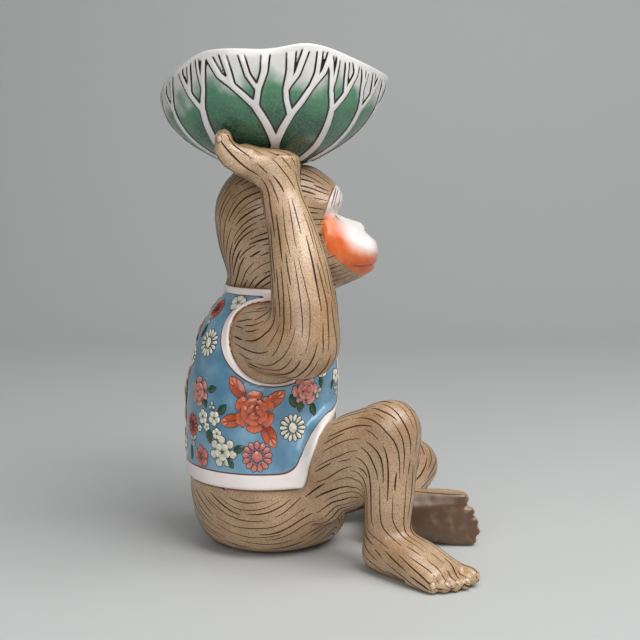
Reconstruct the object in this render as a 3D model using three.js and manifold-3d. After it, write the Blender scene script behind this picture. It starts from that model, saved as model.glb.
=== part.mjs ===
// A seated ceramic monkey in a waistcoat, which carries a lotus-leaf bowl on its crown and hands.
// It is a slip-cast figure: thin hollow castings, butted together at plain joints and luted with slip.
// Millimetres, +Z up. The monkey faces -Y, so its right side is -X. The origin is on the table,
// under the middle of the flat base.

import * as THREE from "three";
import { mergeVertices } from "three/addons/utils/BufferGeometryUtils.js";
import Module from "manifold-3d";

// Walls, seams and air ways
const WALL = 5; // of every hollow casting
const SEAM = 0.3; // slip layer between two luted pieces
const VENT_RADIUS = 5; // air way from a limb, or the face, into the casting that carries it
const BASE_VENT_RADIUS = 7; // pouring and air hole under the base
const BASE_VENT_BACK = 22; // from the middle of the base
const NECK_HOLE_RADIUS = 17; // open way from the body into the head

// Body and head
const NECK_HEIGHT = 172; // joint between body and head
const HEAD_HEIGHT = 82.7; // neck joint to crown
const SHOULDER_DROP = 26; // neck joint down to the shoulder
const HIP_HEIGHT = 36;
const MUZZLE_REACH = 26.5; // front of the skull to the lips
const MUZZLE_HALF_WIDTH = 31; // where it leaves the skull
const MUZZLE_HALF_HEIGHT = 26.5;
const BROW_RADIUS = 9.5;
const BROW_HALF_LENGTH = 27;
const EYE_RADIUS = 6.5;
const EYE_SPREAD = 15; // middle of the face to each eye
const EAR_HALF_HEIGHT = 13;
const EAR_PROUD = 5.5; // that an ear stands out from the skull
const EAR_DISH = 9; // radius of the hollow in the ear

// Waistcoat
const CLOTH = 2; // thickness of the waistcoat's clay
const HEM_HEIGHT = 49;
const COLLAR_HEIGHT = 5.5; // that the collar stands above the neck joint
const COLLAR_PROUD = 0.7; // that the collar stands out from the waistcoat
const OPENING_HALF = 12.5; // half of the gap between the two front panels
const FRONT_HEM_HEIGHT = 87; // where the front panels end, above the thighs
const CUTAWAY_HALF = 52; // half width of the cut-away at the hem

// Bowl
const BOWL_FOOT_RADIUS = 24;
const BOWL_RADIUS = 71; // of the upright wall, before the waves of the rim
const BOWL_DEPTH = 60; // foot to rim, before the waves
const BOWL_WALL = 4;
const BOWL_ROUNDNESS = 3.1; // how quickly the wall turns up from the foot
const BOWL_FLOOR_RADIUS = 20; // flat inside

// Arms
const ELBOW_OUT = 30; // beyond the body's side
const ELBOW_FORWARD = 26; // in front of the shoulder
const ELBOW_RADIUS = 22;
const WRIST_RADIUS = 13;
const WRIST_DROP = 15; // bowl's foot down to the wrist joint
const HAND_INSET = 19; // from the bowl's upright wall to the middle of the palm
const PALM_LENGTH = 26; // wrist to knuckles
const PALM_HALF_WIDTH = 16;
const PALM_HALF_THICKNESS = 11;
const FINGER_LENGTH = 22; // knuckle to tip
const THUMB_RADIUS = 5.4;

// Legs
const HIP_SPREAD = 17; // middle of the body to each thigh's root
const HIP_FORWARD = 13; // thigh's root in front of the body's middle
const THIGH_ROOT_HALF_WIDTH = 14;
const RIGHT_THIGH_ROOT_HALF_DEPTH = 45; // the raised thigh swells into the seat
const LEFT_THIGH_ROOT_HALF_DEPTH = 33;
const RIGHT_THIGH_SAG = 3; // of the thigh's axis below a straight line
const LEFT_THIGH_SAG = -2;
const THIGH_RADIUS = 22.5;
const KNEE_RADIUS = 19.5;
const CALF_RADIUS = 17;
const ANKLE_RADIUS = 15;
const ANKLE_RISE = 34; // sole to the ankle joint
const ANKLE_FORWARD = 17; // back of the heel to the middle of the ankle
const FOOT_LENGTH = 79;
const TOE_LENGTH = 24; // from where a toe leaves the instep
const FOOT_HALF_WIDTH = 19;
const SOLE_CUT = 2; // taken off the underside of the foot to make it flat
const RIGHT_KNEE_OUT = 74; // sideways from the middle of the base
const RIGHT_KNEE_FORWARD = 80;
const RIGHT_KNEE_HEIGHT = 93;
const RIGHT_HEEL_OUT = 60;
const RIGHT_HEEL_FORWARD = 65.5;
const RIGHT_TURN_OUT = 43; // degrees that the right foot points away from straight ahead
const LEFT_KNEE_OUT = 75;
const LEFT_KNEE_FORWARD = 104;
const LEFT_KNEE_HEIGHT = 34.5;
const LEFT_SOLE_ACROSS = 20; // the left foot lies on its outer edge, with its sole this far past the middle
const LEFT_HEEL_FORWARD = 64.5;

// Facets
const TRUNK_SIDES = 24;
const LIMB_SIDES = 12;
const FINGER_SIDES = 7;
const TOE_SIDES = 6;
const CAVITY_SIDES = 8;
const BOWL_SIDES = 42;
const BOWL_RINGS = 7;

const RIGHT = -1;
const LEFT = 1;
const FAR = 500; // longer than the figure, for cutting planes
const X_AXIS = new THREE.Vector3(1, 0, 0);
const Y_AXIS = new THREE.Vector3(0, 1, 0);
const Z_AXIS = new THREE.Vector3(0, 0, 1);

const wasm = await Module();
wasm.setup();

// A closed geometry as a solid that can be joined and cut.
function solid(geometry) {
  const bare = geometry.clone();
  bare.deleteAttribute("normal");
  bare.deleteAttribute("uv");
  const merged = mergeVertices(bare, 1e-4);
  return new wasm.Manifold(
    new wasm.Mesh({
      numProp: 3,
      vertProperties: new Float32Array(merged.attributes.position.array),
      triVerts: new Uint32Array(merged.index.array),
    }),
  );
}

function joined(solids) {
  return solids.reduce((whole, next) => whole.add(next));
}

function cut(whole, cutters) {
  return cutters.reduce((rest, cutter) => rest.subtract(cutter), whole);
}

// The geometry of a solid, for a mesh.
function geometryOf(made) {
  const mesh = made.getMesh();
  const geometry = new THREE.BufferGeometry();
  geometry.setAttribute("position", new THREE.BufferAttribute(new Float32Array(mesh.vertProperties), 3));
  geometry.setIndex(new THREE.BufferAttribute(new Uint32Array(mesh.triVerts), 1));
  geometry.computeVertexNormals();
  return geometry;
}

// Everything between two heights, in the frame of a placed piece.
function slab(low, high, place = new THREE.Matrix4()) {
  const box = new THREE.BoxGeometry(FAR, FAR, high - low);
  return solid(box.translate(0, 0, (low + high) / 2).applyMatrix4(place));
}

// A round rod from one point to another, for air ways and holes.
function rod(from, to, radius) {
  const along = new THREE.Vector3().subVectors(to, from);
  const middle = new THREE.Vector3().addVectors(from, to).multiplyScalar(0.5);
  const cylinder = new THREE.CylinderGeometry(radius, radius, along.length(), CAVITY_SIDES);
  cylinder.applyQuaternion(new THREE.Quaternion().setFromUnitVectors(Y_AXIS, along.normalize()));
  return solid(cylinder.translate(middle.x, middle.y, middle.z));
}

// A closed skin over rings of equally many points. A middle point closes each end.
function skin(rings) {
  const sides = rings[0].length;
  const points = rings.flat();
  const index = [];
  for (let i = 0; i + 1 < rings.length; i++) {
    for (let j = 0; j < sides; j++) {
      const next = (j + 1) % sides;
      const [a, b] = [i * sides + j, i * sides + next];
      index.push(a, b, b + sides, a, b + sides, a + sides);
    }
  }
  const middleOf = (ring) => ring.reduce((sum, p) => sum.add(p), new THREE.Vector3()).divideScalar(sides);
  const first = points.push(middleOf(rings[0])) - 1;
  const last = points.push(middleOf(rings[rings.length - 1])) - 1;
  const lastRing = (rings.length - 1) * sides;
  for (let j = 0; j < sides; j++) {
    const next = (j + 1) % sides;
    index.push(first, next, j, last, lastRing + j, lastRing + next);
  }
  return new THREE.BufferGeometry().setFromPoints(points).setIndex(index);
}

// A loft along a smooth spine. A station is [x, y, z, half width, half depth]; the width runs along
// `across`, and the sections stand square to the spine, or to `along` where the form gives it.
// `domes` holds the length of each rounded end, and 0 leaves that end flat.
// `crowd` draws the rings together towards both ends, where a form turns in quickly.
// `grow` moves the whole skin outwards, for a clearance or a cloth, or inwards, for a cavity.
function loftGeometry(form, grow, sides) {
  const { stations, across = X_AXIS, domes = [0, 0], rings = 8, domeRings = 3, crowd = 0 } = form;
  const spine = new THREE.CatmullRomCurve3(stations.map(([x, y, z]) => new THREE.Vector3(x, y, z)));
  const sizes = new THREE.CatmullRomCurve3(stations.map(([, , , w, d]) => new THREE.Vector3(w, d, 0)));
  const length = spine.getLength();
  const stops = []; // distance along the spine, and the share of the full section there
  const dome = (end) => {
    const reach = domes[end] + grow;
    for (let i = 1; i <= domeRings; i++) {
      const angle = ((i - 0.2) / domeRings) * (Math.PI / 2);
      const inset = reach * (1 - Math.sin(angle));
      stops.push(end ? [length + grow - inset, Math.cos(angle)] : [inset - grow, Math.cos(angle)]);
    }
  };
  if (domes[0]) dome(0);
  const from = domes[0] || -grow;
  const to = domes[1] ? length - domes[1] : length + grow;
  for (let i = 0; i <= rings; i++) {
    const share = i / rings - crowd * Math.sin((2 * Math.PI * i) / rings);
    stops.push([from + (to - from) * share, 1]);
  }
  if (domes[1]) dome(1);
  const skinRings = stops
    .sort(([a], [b]) => a - b)
    .map(([s, share]) => {
      const inside = THREE.MathUtils.clamp(s, 0, length);
      const t = spine.getUtoTmapping(inside / length);
      const along = form.along ?? spine.getTangent(t);
      const middle = spine.getPoint(t).addScaledVector(along, s - inside);
      const size = sizes.getPoint(t);
      const wide = across.clone().addScaledVector(along, -across.dot(along)).normalize();
      const deep = new THREE.Vector3().crossVectors(along, wide);
      return Array.from({ length: sides }, (_, j) => {
        const turn = (2 * Math.PI * j) / sides;
        return middle
          .clone()
          .addScaledVector(wide, (size.x + grow) * share * Math.cos(turn))
          .addScaledVector(deep, (size.y + grow) * share * Math.sin(turn));
      });
    });
  return skin(skinRings).applyMatrix4(form.place ?? new THREE.Matrix4());
}

function loft(form, grow = 0) {
  return solid(loftGeometry(form, grow, form.sides ?? LIMB_SIDES));
}

// The hollow inside a form, which needs only half as many facets.
function cavity(form) {
  const rings = Math.ceil((form.rings ?? 8) / 2);
  const sides = Math.max(CAVITY_SIDES, (form.sides ?? 0) / 2);
  return solid(loftGeometry({ ...form, rings, domeRings: 2 }, -WALL, sides));
}

// The section of an upright form at a height: its middle along Y, half width and half depth.
function sectionAt(form, height) {
  const above = Math.max(1, form.stations.findIndex(([, , z]) => z >= height));
  const [low, high] = [form.stations[above - 1], form.stations[above]];
  const share = (height - low[2]) / (high[2] - low[2]);
  const [, y, , width, depth] = low.map((value, i) => THREE.MathUtils.lerp(value, high[i], share));
  return { y, width, depth, front: y - depth };
}

// Trunk under the waistcoat. A row: share of the neck's height, middle along Y, half width, half depth.
const trunk = {
  along: Z_AXIS,
  sides: TRUNK_SIDES,
  rings: 10,
  crowd: 0.1,
  stations: [
    [0, -1, 33, 33],
    [0.03, -2.5, 45, 45],
    [0.09, -2, 53.5, 51],
    [0.17, -0.5, 58, 53],
    [0.27, 1, 59, 52.5],
    [0.37, 2.5, 59, 51.5],
    [0.52, 4.3, 58, 49.6],
    [0.64, 2.5, 57, 50],
    [0.76, 1.6, 53, 47],
    [0.87, -0.8, 47.5, 43],
    [0.95, -4.5, 41, 37],
    [1, -9.5, 34.5, 33.5],
  ].map(([share, y, width, depth]) => [0, y, share * NECK_HEIGHT, width, depth]),
};

// Skull, from the neck joint to the flat crown. A row is as for the trunk, by share of the head's height.
const NECK_JOINT = NECK_HEIGHT + SEAM;
const CROWN_HEIGHT = NECK_JOINT + HEAD_HEIGHT;
const headLevel = (share) => NECK_JOINT + share * HEAD_HEIGHT;
const skull = {
  along: Z_AXIS,
  sides: TRUNK_SIDES,
  rings: 9,
  crowd: 0.07,
  stations: [
    [0, -10.5, 33, 34],
    [0.15, -9, 34.5, 36.5],
    [0.33, -6.5, 37, 38.5],
    [0.51, -4.8, 39, 39.8],
    [0.66, -4.8, 39.5, 40],
    [0.79, -6, 37, 38],
    [0.89, -7.2, 32, 33.5],
    [0.95, -7.5, 27.5, 29],
    [1, -7, 22, 22],
  ].map(([share, y, width, depth]) => [0, y, headLevel(share), width, depth]),
};

// Muzzle of the face, from inside the skull to the lips.
const MUZZLE_LEVEL = headLevel(0.33);
const skullFront = sectionAt(skull, MUZZLE_LEVEL).front;
// A station: shares of the muzzle's reach forward and up, of its half width and of its half height.
const muzzleAt = (forward, rise, width, height) => [
  0,
  skullFront - forward * MUZZLE_REACH,
  MUZZLE_LEVEL + rise * MUZZLE_REACH,
  width * MUZZLE_HALF_WIDTH,
  height * MUZZLE_HALF_HEIGHT,
];
const muzzle = {
  domes: [0, 7],
  rings: 5,
  sides: 18,
  stations: [
    muzzleAt(-0.42, 0.13, 1.06, 1.17),
    muzzleAt(0, 0.02, 1, 1),
    muzzleAt(0.36, -0.02, 0.87, 0.79),
    muzzleAt(0.65, -0.095, 0.74, 0.68),
    muzzleAt(1, -0.3, 0.55, 0.51),
  ],
};

// What a luted piece is cut by, so that it seats on the trunk or on the skull.
const trunkSeat = loft(trunk, SEAM);
const skullSeat = loft(skull, SEAM);

// Lotus-leaf bowl. Its rim rises and falls and swings in and out.
// A row: degrees round from +X, height above the plain rim, distance outside the plain wall.
const BOWL_FOOT_HEIGHT = CROWN_HEIGHT + SEAM;
const RIM = [
  [0, 11, 3],
  [30, 4, 2],
  [60, -2, 1],
  [90, -10, -1],
  [125, -4, 1],
  [148, 8, 3],
  [163, 10, 4],
  [183, 9.5, 2.5],
  [203, 13.5, 4.5],
  [230, 5, 5],
  [255, -2, 8],
  [275, -3, 9.5],
  [305, 6, 6],
  [332, 12, 4],
];
const rim = new THREE.CatmullRomCurve3(
  RIM.map(([degrees, rise, flare]) => {
    const turn = THREE.MathUtils.degToRad(degrees);
    const radius = BOWL_RADIUS + flare;
    return new THREE.Vector3(radius * Math.cos(turn), radius * Math.sin(turn), BOWL_DEPTH + rise);
  }),
  true,
);
// One ring of the bowl's outer wall, at a share of the way from foot to rim, moved in and up.
function bowlRing(share, inwards, upwards) {
  const height = BOWL_DEPTH * share ** 1.7;
  const turnedUp = 1 - (1 - height / BOWL_DEPTH) ** BOWL_ROUNDNESS;
  const radius = BOWL_FOOT_RADIUS + (BOWL_RADIUS - BOWL_FOOT_RADIUS) * turnedUp;
  const wave = share ** 3; // only the upper wall follows the rim's waves
  return Array.from({ length: BOWL_SIDES }, (_, j) => {
    const { x, y, z } = rim.getPoint(j / BOWL_SIDES);
    const rimRadius = Math.hypot(x, y);
    const r = radius + wave * (rimRadius - BOWL_RADIUS) - inwards;
    const h = height + wave * (z - BOWL_DEPTH) + upwards;
    return new THREE.Vector3((x / rimRadius) * r, (y / rimRadius) * r, BOWL_FOOT_HEIGHT + h);
  });
}
// The bowl's outside grown by a clearance and closed across its mouth, for cutting what holds it.
function bowlOutside(grow) {
  const rings = [];
  for (let i = 0; i <= BOWL_RINGS; i++) rings.push(bowlRing(i / BOWL_RINGS, -grow, i ? 0 : -grow));
  return solid(skin(rings));
}
const bowlSeat = bowlOutside(SEAM);

function leafBowl() {
  const rings = [];
  for (let i = 0; i <= BOWL_RINGS; i++) rings.push(bowlRing(i / BOWL_RINGS, 0, 0));
  rings.push(bowlRing(1, 0.3 * BOWL_WALL, 0.3 * BOWL_WALL)); // the rounded lip
  rings.push(bowlRing(1, 0.75 * BOWL_WALL, 0.25 * BOWL_WALL));
  for (let i = BOWL_RINGS - 1; i > 0; i--) {
    const lean = ((i / BOWL_RINGS) * Math.PI) / 2;
    rings.push(bowlRing(i / BOWL_RINGS, BOWL_WALL * Math.sin(lean), BOWL_WALL * Math.cos(lean)));
  }
  rings.push(bowlRing(0, BOWL_FOOT_RADIUS - BOWL_FLOOR_RADIUS, BOWL_WALL));
  return solid(skin(rings));
}

// Arms: the upper arm leaves the body's side, and the forearm rises from the elbow to the bowl.
const SHOULDER_HEIGHT = NECK_HEIGHT - SHOULDER_DROP;
const shoulder = sectionAt(trunk, SHOULDER_HEIGHT);
const WRIST_HEIGHT = BOWL_FOOT_HEIGHT - WRIST_DROP;
const HAND_REACH = BOWL_RADIUS - HAND_INSET;

function armForms(side) {
  const elbow = new THREE.Vector3(
    side * (shoulder.width + ELBOW_OUT),
    shoulder.y - ELBOW_FORWARD,
    SHOULDER_HEIGHT + 1,
  );
  const wrist = new THREE.Vector3(side * (HAND_REACH + 5), shoulder.y - 10, WRIST_HEIGHT);
  const upper = {
    across: Z_AXIS,
    domes: [0, ELBOW_RADIUS],
    rings: 4,
    stations: [
      [side * (shoulder.width - 26), shoulder.y + 17, SHOULDER_HEIGHT - 1, 16, 12],
      [side * (shoulder.width - 1), shoulder.y + 1, SHOULDER_HEIGHT, 23, 19],
      [elbow.x - side * 8, elbow.y + 8, elbow.z - 0.5, ELBOW_RADIUS + 1, ELBOW_RADIUS + 1.5],
      [elbow.x + side * 12, elbow.y - 16, elbow.z, ELBOW_RADIUS, ELBOW_RADIUS],
    ],
  };
  // A point of the forearm's axis, which bows forward a little on its way up.
  const axisAt = (share, radius) => {
    const point = new THREE.Vector3().lerpVectors(elbow, wrist, share);
    const bow = 4 * share * (1 - share);
    return [point.x + side * 2 * bow, point.y - 4 * bow, point.z, radius, radius];
  };
  const fore = {
    domes: [ELBOW_RADIUS, 0],
    rings: 5,
    stations: [
      [elbow.x, elbow.y + 1, elbow.z - ELBOW_RADIUS, ELBOW_RADIUS - 1, ELBOW_RADIUS - 1],
      axisAt(0.02, ELBOW_RADIUS),
      axisAt(0.28, ELBOW_RADIUS - 1.4),
      axisAt(0.58, (ELBOW_RADIUS + WRIST_RADIUS) / 2 + 0.5),
      axisAt(0.85, WRIST_RADIUS + 0.8),
      axisAt(1, WRIST_RADIUS),
      [wrist.x - side * 2, wrist.y, WRIST_HEIGHT + WRIST_DROP + 6, WRIST_RADIUS - 1, WRIST_RADIUS - 1],
    ],
  };
  return { wrist, upper, fore };
}

function arm(side) {
  const { upper, fore } = armForms(side);
  const whole = cut(loft(upper).add(loft(fore)), [trunkSeat, skullSeat, cavity(upper), cavity(fore)]);
  return whole.subtract(slab(WRIST_HEIGHT, FAR));
}

// Hands: palm up under the bowl, with the fingers to the back and curled up along the bowl's side.
function hand(side) {
  const { wrist, fore } = armForms(side);
  const palmX = side * HAND_REACH;
  const palmHeight = BOWL_FOOT_HEIGHT;
  const knuckles = wrist.y + PALM_LENGTH;
  // A station: shares of the palm's length from the wrist, its rise, its half width and its thickness.
  const palmAt = (from, rise, width, thickness) => [
    palmX,
    wrist.y + from * PALM_LENGTH,
    palmHeight + rise * PALM_HALF_THICKNESS,
    width * PALM_HALF_WIDTH,
    thickness * PALM_HALF_THICKNESS,
  ];
  const palm = {
    domes: [PALM_HALF_WIDTH / 2, PALM_HALF_WIDTH / 2],
    rings: 3,
    domeRings: 2,
    sides: 12,
    stations: [
      palmAt(-0.5, 0, 0.75, 0.86),
      palmAt(0.04, -0.05, 0.94, 1),
      palmAt(0.54, 0.09, 1.03, 1),
      palmAt(1.23, 0.64, 1, 0.91),
    ],
  };
  const fingerHalf = PALM_HALF_WIDTH / 4;
  const fingers = [-3, -1, 1, 3].map((place) => {
    const x = palmX + place * fingerHalf;
    const reach = FINGER_LENGTH * (Math.abs(place) > 1 ? 0.93 : 1); // the outer two are shorter
    // A station: shares of the finger's length back and up, then of its half width and of the palm's.
    const fingerAt = (back, up, width, thickness) => [
      x,
      knuckles + back * reach,
      palmHeight + up * reach,
      width * fingerHalf,
      thickness * PALM_HALF_THICKNESS,
    ];
    return {
      domes: [0, fingerHalf],
      rings: 4,
      domeRings: 2,
      sides: FINGER_SIDES,
      stations: [
        fingerAt(-0.37, 0.09, 1.15, 0.91),
        fingerAt(0.14, 0.27, 1.15, 0.82),
        fingerAt(0.42, 0.6, 1.1, 0.64),
        fingerAt(0.36, 1.05, 1, 0.42),
      ],
    };
  });
  const inner = palmX - side * PALM_HALF_WIDTH; // the palm's edge towards the head
  // A station: out from that edge and up in thumb radii, back in palm lengths, and the section's share.
  const thumbAt = (out, back, up, share) => [
    inner + side * out * THUMB_RADIUS,
    wrist.y + back * PALM_LENGTH,
    palmHeight + up * THUMB_RADIUS,
    share * THUMB_RADIUS,
    share * THUMB_RADIUS,
  ];
  const thumb = {
    domes: [0, THUMB_RADIUS],
    rings: 3,
    domeRings: 2,
    sides: FINGER_SIDES,
    stations: [
      thumbAt(1.1, 0.08, -0.95, 1.1),
      thumbAt(-0.2, 0.42, -0.95, 1),
      thumbAt(-0.75, 0.85, -0.55, 0.9),
    ],
  };
  const whole = joined([fore, palm, ...fingers, thumb].map((form) => loft(form)));
  return cut(whole, [slab(0, WRIST_HEIGHT + SEAM), bowlSeat, skullSeat]);
}

// Legs: a thigh from the hip to the knee, and a shin from the knee into the foot.
const hip = sectionAt(trunk, HIP_HEIGHT);

// Where each foot stands. In its own frame the sole is on z = 0, the heel at the origin and the toes on -Y.
const rightFootPlace = new THREE.Matrix4()
  .makeRotationZ(THREE.MathUtils.degToRad(-RIGHT_TURN_OUT))
  .setPosition(-RIGHT_HEEL_OUT, -RIGHT_HEEL_FORWARD, 0);
const leftFootPlace = new THREE.Matrix4()
  .makeBasis(Z_AXIS.clone().negate(), Y_AXIS, X_AXIS)
  .setPosition(-LEFT_SOLE_ACROSS, -LEFT_HEEL_FORWARD, FOOT_HALF_WIDTH);
const rightKnee = new THREE.Vector3(-RIGHT_KNEE_OUT, -RIGHT_KNEE_FORWARD, RIGHT_KNEE_HEIGHT);
const leftKnee = new THREE.Vector3(LEFT_KNEE_OUT, -LEFT_KNEE_FORWARD, LEFT_KNEE_HEIGHT);

function legForms(side) {
  const knee = side === RIGHT ? rightKnee : leftKnee;
  const place = side === RIGHT ? rightFootPlace : leftFootPlace;
  const sag = side === RIGHT ? RIGHT_THIGH_SAG : LEFT_THIGH_SAG;
  const rootDepth = side === RIGHT ? RIGHT_THIGH_ROOT_HALF_DEPTH : LEFT_THIGH_ROOT_HALF_DEPTH;
  const hipSeat = new THREE.Vector3(side * HIP_SPREAD, hip.y - HIP_FORWARD, HIP_HEIGHT);
  const thighAt = (share, width, depth) => {
    const point = new THREE.Vector3().lerpVectors(hipSeat, knee, share);
    return [point.x, point.y, point.z - sag * 4 * share * (1 - share), width, depth];
  };
  const [x, y, z] = thighAt(0.75, 0, 0);
  const beyond = new THREE.Vector3(x, y, z).sub(knee).setLength(-0.9 * KNEE_RADIUS).add(knee);
  const thigh = {
    domes: [0, KNEE_RADIUS],
    rings: 5,
    stations: [
      thighAt(0, THIGH_ROOT_HALF_WIDTH, rootDepth),
      thighAt(0.15, 1.07 * THIGH_ROOT_HALF_WIDTH, rootDepth),
      thighAt(0.36, 0.75 * THIGH_RADIUS, 1.48 * THIGH_RADIUS),
      thighAt(0.6, THIGH_RADIUS, 1.3 * THIGH_RADIUS),
      thighAt(0.8, THIGH_RADIUS, 1.14 * THIGH_RADIUS),
      thighAt(0.98, KNEE_RADIUS, 1.03 * KNEE_RADIUS),
      [...beyond, 0.97 * KNEE_RADIUS, KNEE_RADIUS],
    ],
  };
  const ankle = new THREE.Vector3(0, -ANKLE_FORWARD, ANKLE_RISE).applyMatrix4(place);
  const inFoot = new THREE.Vector3(0, -0.92 * ANKLE_FORWARD, 0.3 * ANKLE_RISE).applyMatrix4(place);
  const above = new THREE.Vector3().subVectors(knee, ankle).setLength(0.95 * KNEE_RADIUS).add(knee);
  const shinAt = (share, radius) => [
    ...new THREE.Vector3().lerpVectors(knee, ankle, share),
    radius,
    1.03 * radius,
  ];
  const shin = {
    across: side === RIGHT ? X_AXIS : Z_AXIS,
    domes: [KNEE_RADIUS, 0],
    rings: 4,
    stations: [
      [...above, 0.92 * KNEE_RADIUS, 0.95 * KNEE_RADIUS],
      shinAt(0.02, 0.95 * KNEE_RADIUS),
      shinAt(0.4, CALF_RADIUS),
      shinAt(1, ANKLE_RADIUS),
      [...inFoot, 0.87 * ANKLE_RADIUS, 0.87 * ANKLE_RADIUS],
    ],
  };
  return { place, thigh, shin };
}

function leg(side) {
  const { place, thigh, shin } = legForms(side);
  const whole = cut(loft(thigh).add(loft(shin)), [trunkSeat, cavity(thigh), cavity(shin)]);
  return whole.subtract(slab(-FAR / 4, ANKLE_RISE + SEAM, place));
}

// Feet: solid and flat soled, with five toes of which the big one is on the inner side.
function foot(side) {
  const { place, shin } = legForms(side);
  const half = FOOT_HALF_WIDTH;
  // A row: share of the foot's length from the heel, of its half width and of the ankle's height.
  const instep = {
    place,
    domes: [10, 7],
    rings: 5,
    stations: [
      [0, 0.63, 0.6],
      [0.12, 0.76, 0.78],
      [0.3, 0.88, 0.87],
      [0.49, 0.97, 0.78],
      [0.68, 1, 0.58],
      [0.88, 0.97, 0.4],
    ].map(([from, width, rise]) => {
      const height = rise * ANKLE_RISE;
      const thickness = (height + SOLE_CUT) / 2;
      return [0, -from * FOOT_LENGTH, height - thickness, width * half, thickness];
    }),
  };
  // A row: place across the foot from its inner edge and radius, as shares of the foot's half width.
  // The standing foot's toes fall back towards the little one, and those of the foot on its edge do not.
  const shortfalls = side === RIGHT ? [0, 0.006, 0.03, 0.07, 0.13] : [0.1, 0.05, 0.015, 0, 0.03];
  const toes = [
    [0.32, 0.32],
    [0.76, 0.24],
    [1.13, 0.23],
    [1.47, 0.22],
    [1.79, 0.21],
  ].map(([across, thickness], i) => {
    const x = side * (across - 1) * half;
    const radius = thickness * half;
    const tip = FOOT_LENGTH * (1 - shortfalls[i]);
    return {
      place,
      domes: [0, radius],
      rings: 2,
      domeRings: 2,
      sides: TOE_SIDES,
      stations: [
        [0.9 * x, TOE_LENGTH - tip, 1.2 * radius, radius, radius],
        [x, 0.42 * TOE_LENGTH - tip, 1.1 * radius, radius, radius],
        [x, -tip, 0.9 * radius, 0.9 * radius, radius],
      ],
    };
  });
  const whole = joined([instep, ...toes, shin].map((form) => loft(form)));
  return whole.intersect(slab(0, ANKLE_RISE, place));
}

// Body: one hollow casting with a flat base, an open neck and an air way to each limb.
function body() {
  const shell = loft(trunk).subtract(cavity(trunk));
  const neckY = sectionAt(trunk, NECK_HEIGHT).y;
  const neckHole = rod(
    new THREE.Vector3(0, neckY, NECK_HEIGHT - 2 * WALL),
    new THREE.Vector3(0, neckY, NECK_HEIGHT + WALL),
    NECK_HOLE_RADIUS,
  );
  const baseVent = rod(
    new THREE.Vector3(0, BASE_VENT_BACK, -WALL),
    new THREE.Vector3(0, BASE_VENT_BACK, 2 * WALL),
    BASE_VENT_RADIUS,
  );
  const limbVents = [RIGHT, LEFT].flatMap((side) => {
    const forms = [armForms(side).upper, legForms(side).thigh];
    return forms.map(({ stations }) => {
      const [root, further] = [stations[0], stations[2]].map((row) => new THREE.Vector3(...row));
      return rod(root, further, VENT_RADIUS);
    });
  });
  return cut(shell, [neckHole, baseVent, ...limbVents]);
}

// Waistcoat: a thin layer of clay over the body, open and cut away in front, with a standing collar.
function waistcoat() {
  const cloth = loft(trunk, SEAM + CLOTH);
  const neck = sectionAt(trunk, NECK_HEIGHT);
  const collarOut = SEAM + CLOTH + COLLAR_PROUD;
  const collar = loft({
    sides: TRUNK_SIDES,
    rings: 1,
    stations: [
      [0, neck.y, NECK_HEIGHT - 3, neck.width + collarOut, neck.depth + collarOut],
      [0, neck.y, NECK_HEIGHT + COLLAR_HEIGHT, neck.width + collarOut - 1, neck.depth + collarOut - 1],
    ],
  });
  const front = new THREE.Shape();
  front.moveTo(-OPENING_HALF, NECK_HEIGHT + FAR / 2);
  front.lineTo(-OPENING_HALF, FRONT_HEM_HEIGHT + 8);
  front.quadraticCurveTo(-OPENING_HALF, FRONT_HEM_HEIGHT, -OPENING_HALF - 8, FRONT_HEM_HEIGHT);
  front.bezierCurveTo(
    -CUTAWAY_HALF + 12,
    FRONT_HEM_HEIGHT - 1,
    -CUTAWAY_HALF + 8,
    FRONT_HEM_HEIGHT - 16,
    -CUTAWAY_HALF,
    HEM_HEIGHT,
  );
  front.lineTo(-CUTAWAY_HALF, 0);
  const rightSide = front.getPoints(5);
  const leftSide = rightSide.map((point) => new THREE.Vector2(-point.x, point.y)).reverse();
  const opening = new THREE.ExtrudeGeometry(new THREE.Shape([...rightSide, ...leftSide]), {
    depth: FAR,
    bevelEnabled: false,
  }).rotateX(Math.PI / 2); // the drawing's up becomes +Z, and it is extruded towards -Y
  const limbs = [RIGHT, LEFT].flatMap((side) => [
    loft(armForms(side).upper, SEAM),
    loft(legForms(side).thigh, SEAM),
  ]);
  const cutters = [trunkSeat, skullSeat, loft(muzzle, SEAM), slab(-FAR / 4, HEM_HEIGHT), solid(opening)];
  return cut(cloth.add(collar), [...cutters, ...limbs]);
}

function head() {
  const neckY = skull.stations[0][1];
  const neckHole = rod(
    new THREE.Vector3(0, neckY, NECK_JOINT - WALL),
    new THREE.Vector3(0, neckY, NECK_JOINT + 2 * WALL),
    NECK_HOLE_RADIUS,
  );
  const faceVent = rod(
    new THREE.Vector3(0, skullFront - WALL, MUZZLE_LEVEL),
    new THREE.Vector3(0, skullFront + 2 * WALL, MUZZLE_LEVEL),
    VENT_RADIUS,
  );
  const shell = loft(skull).subtract(cavity(skull));
  return cut(shell, [neckHole, faceVent]);
}

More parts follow.
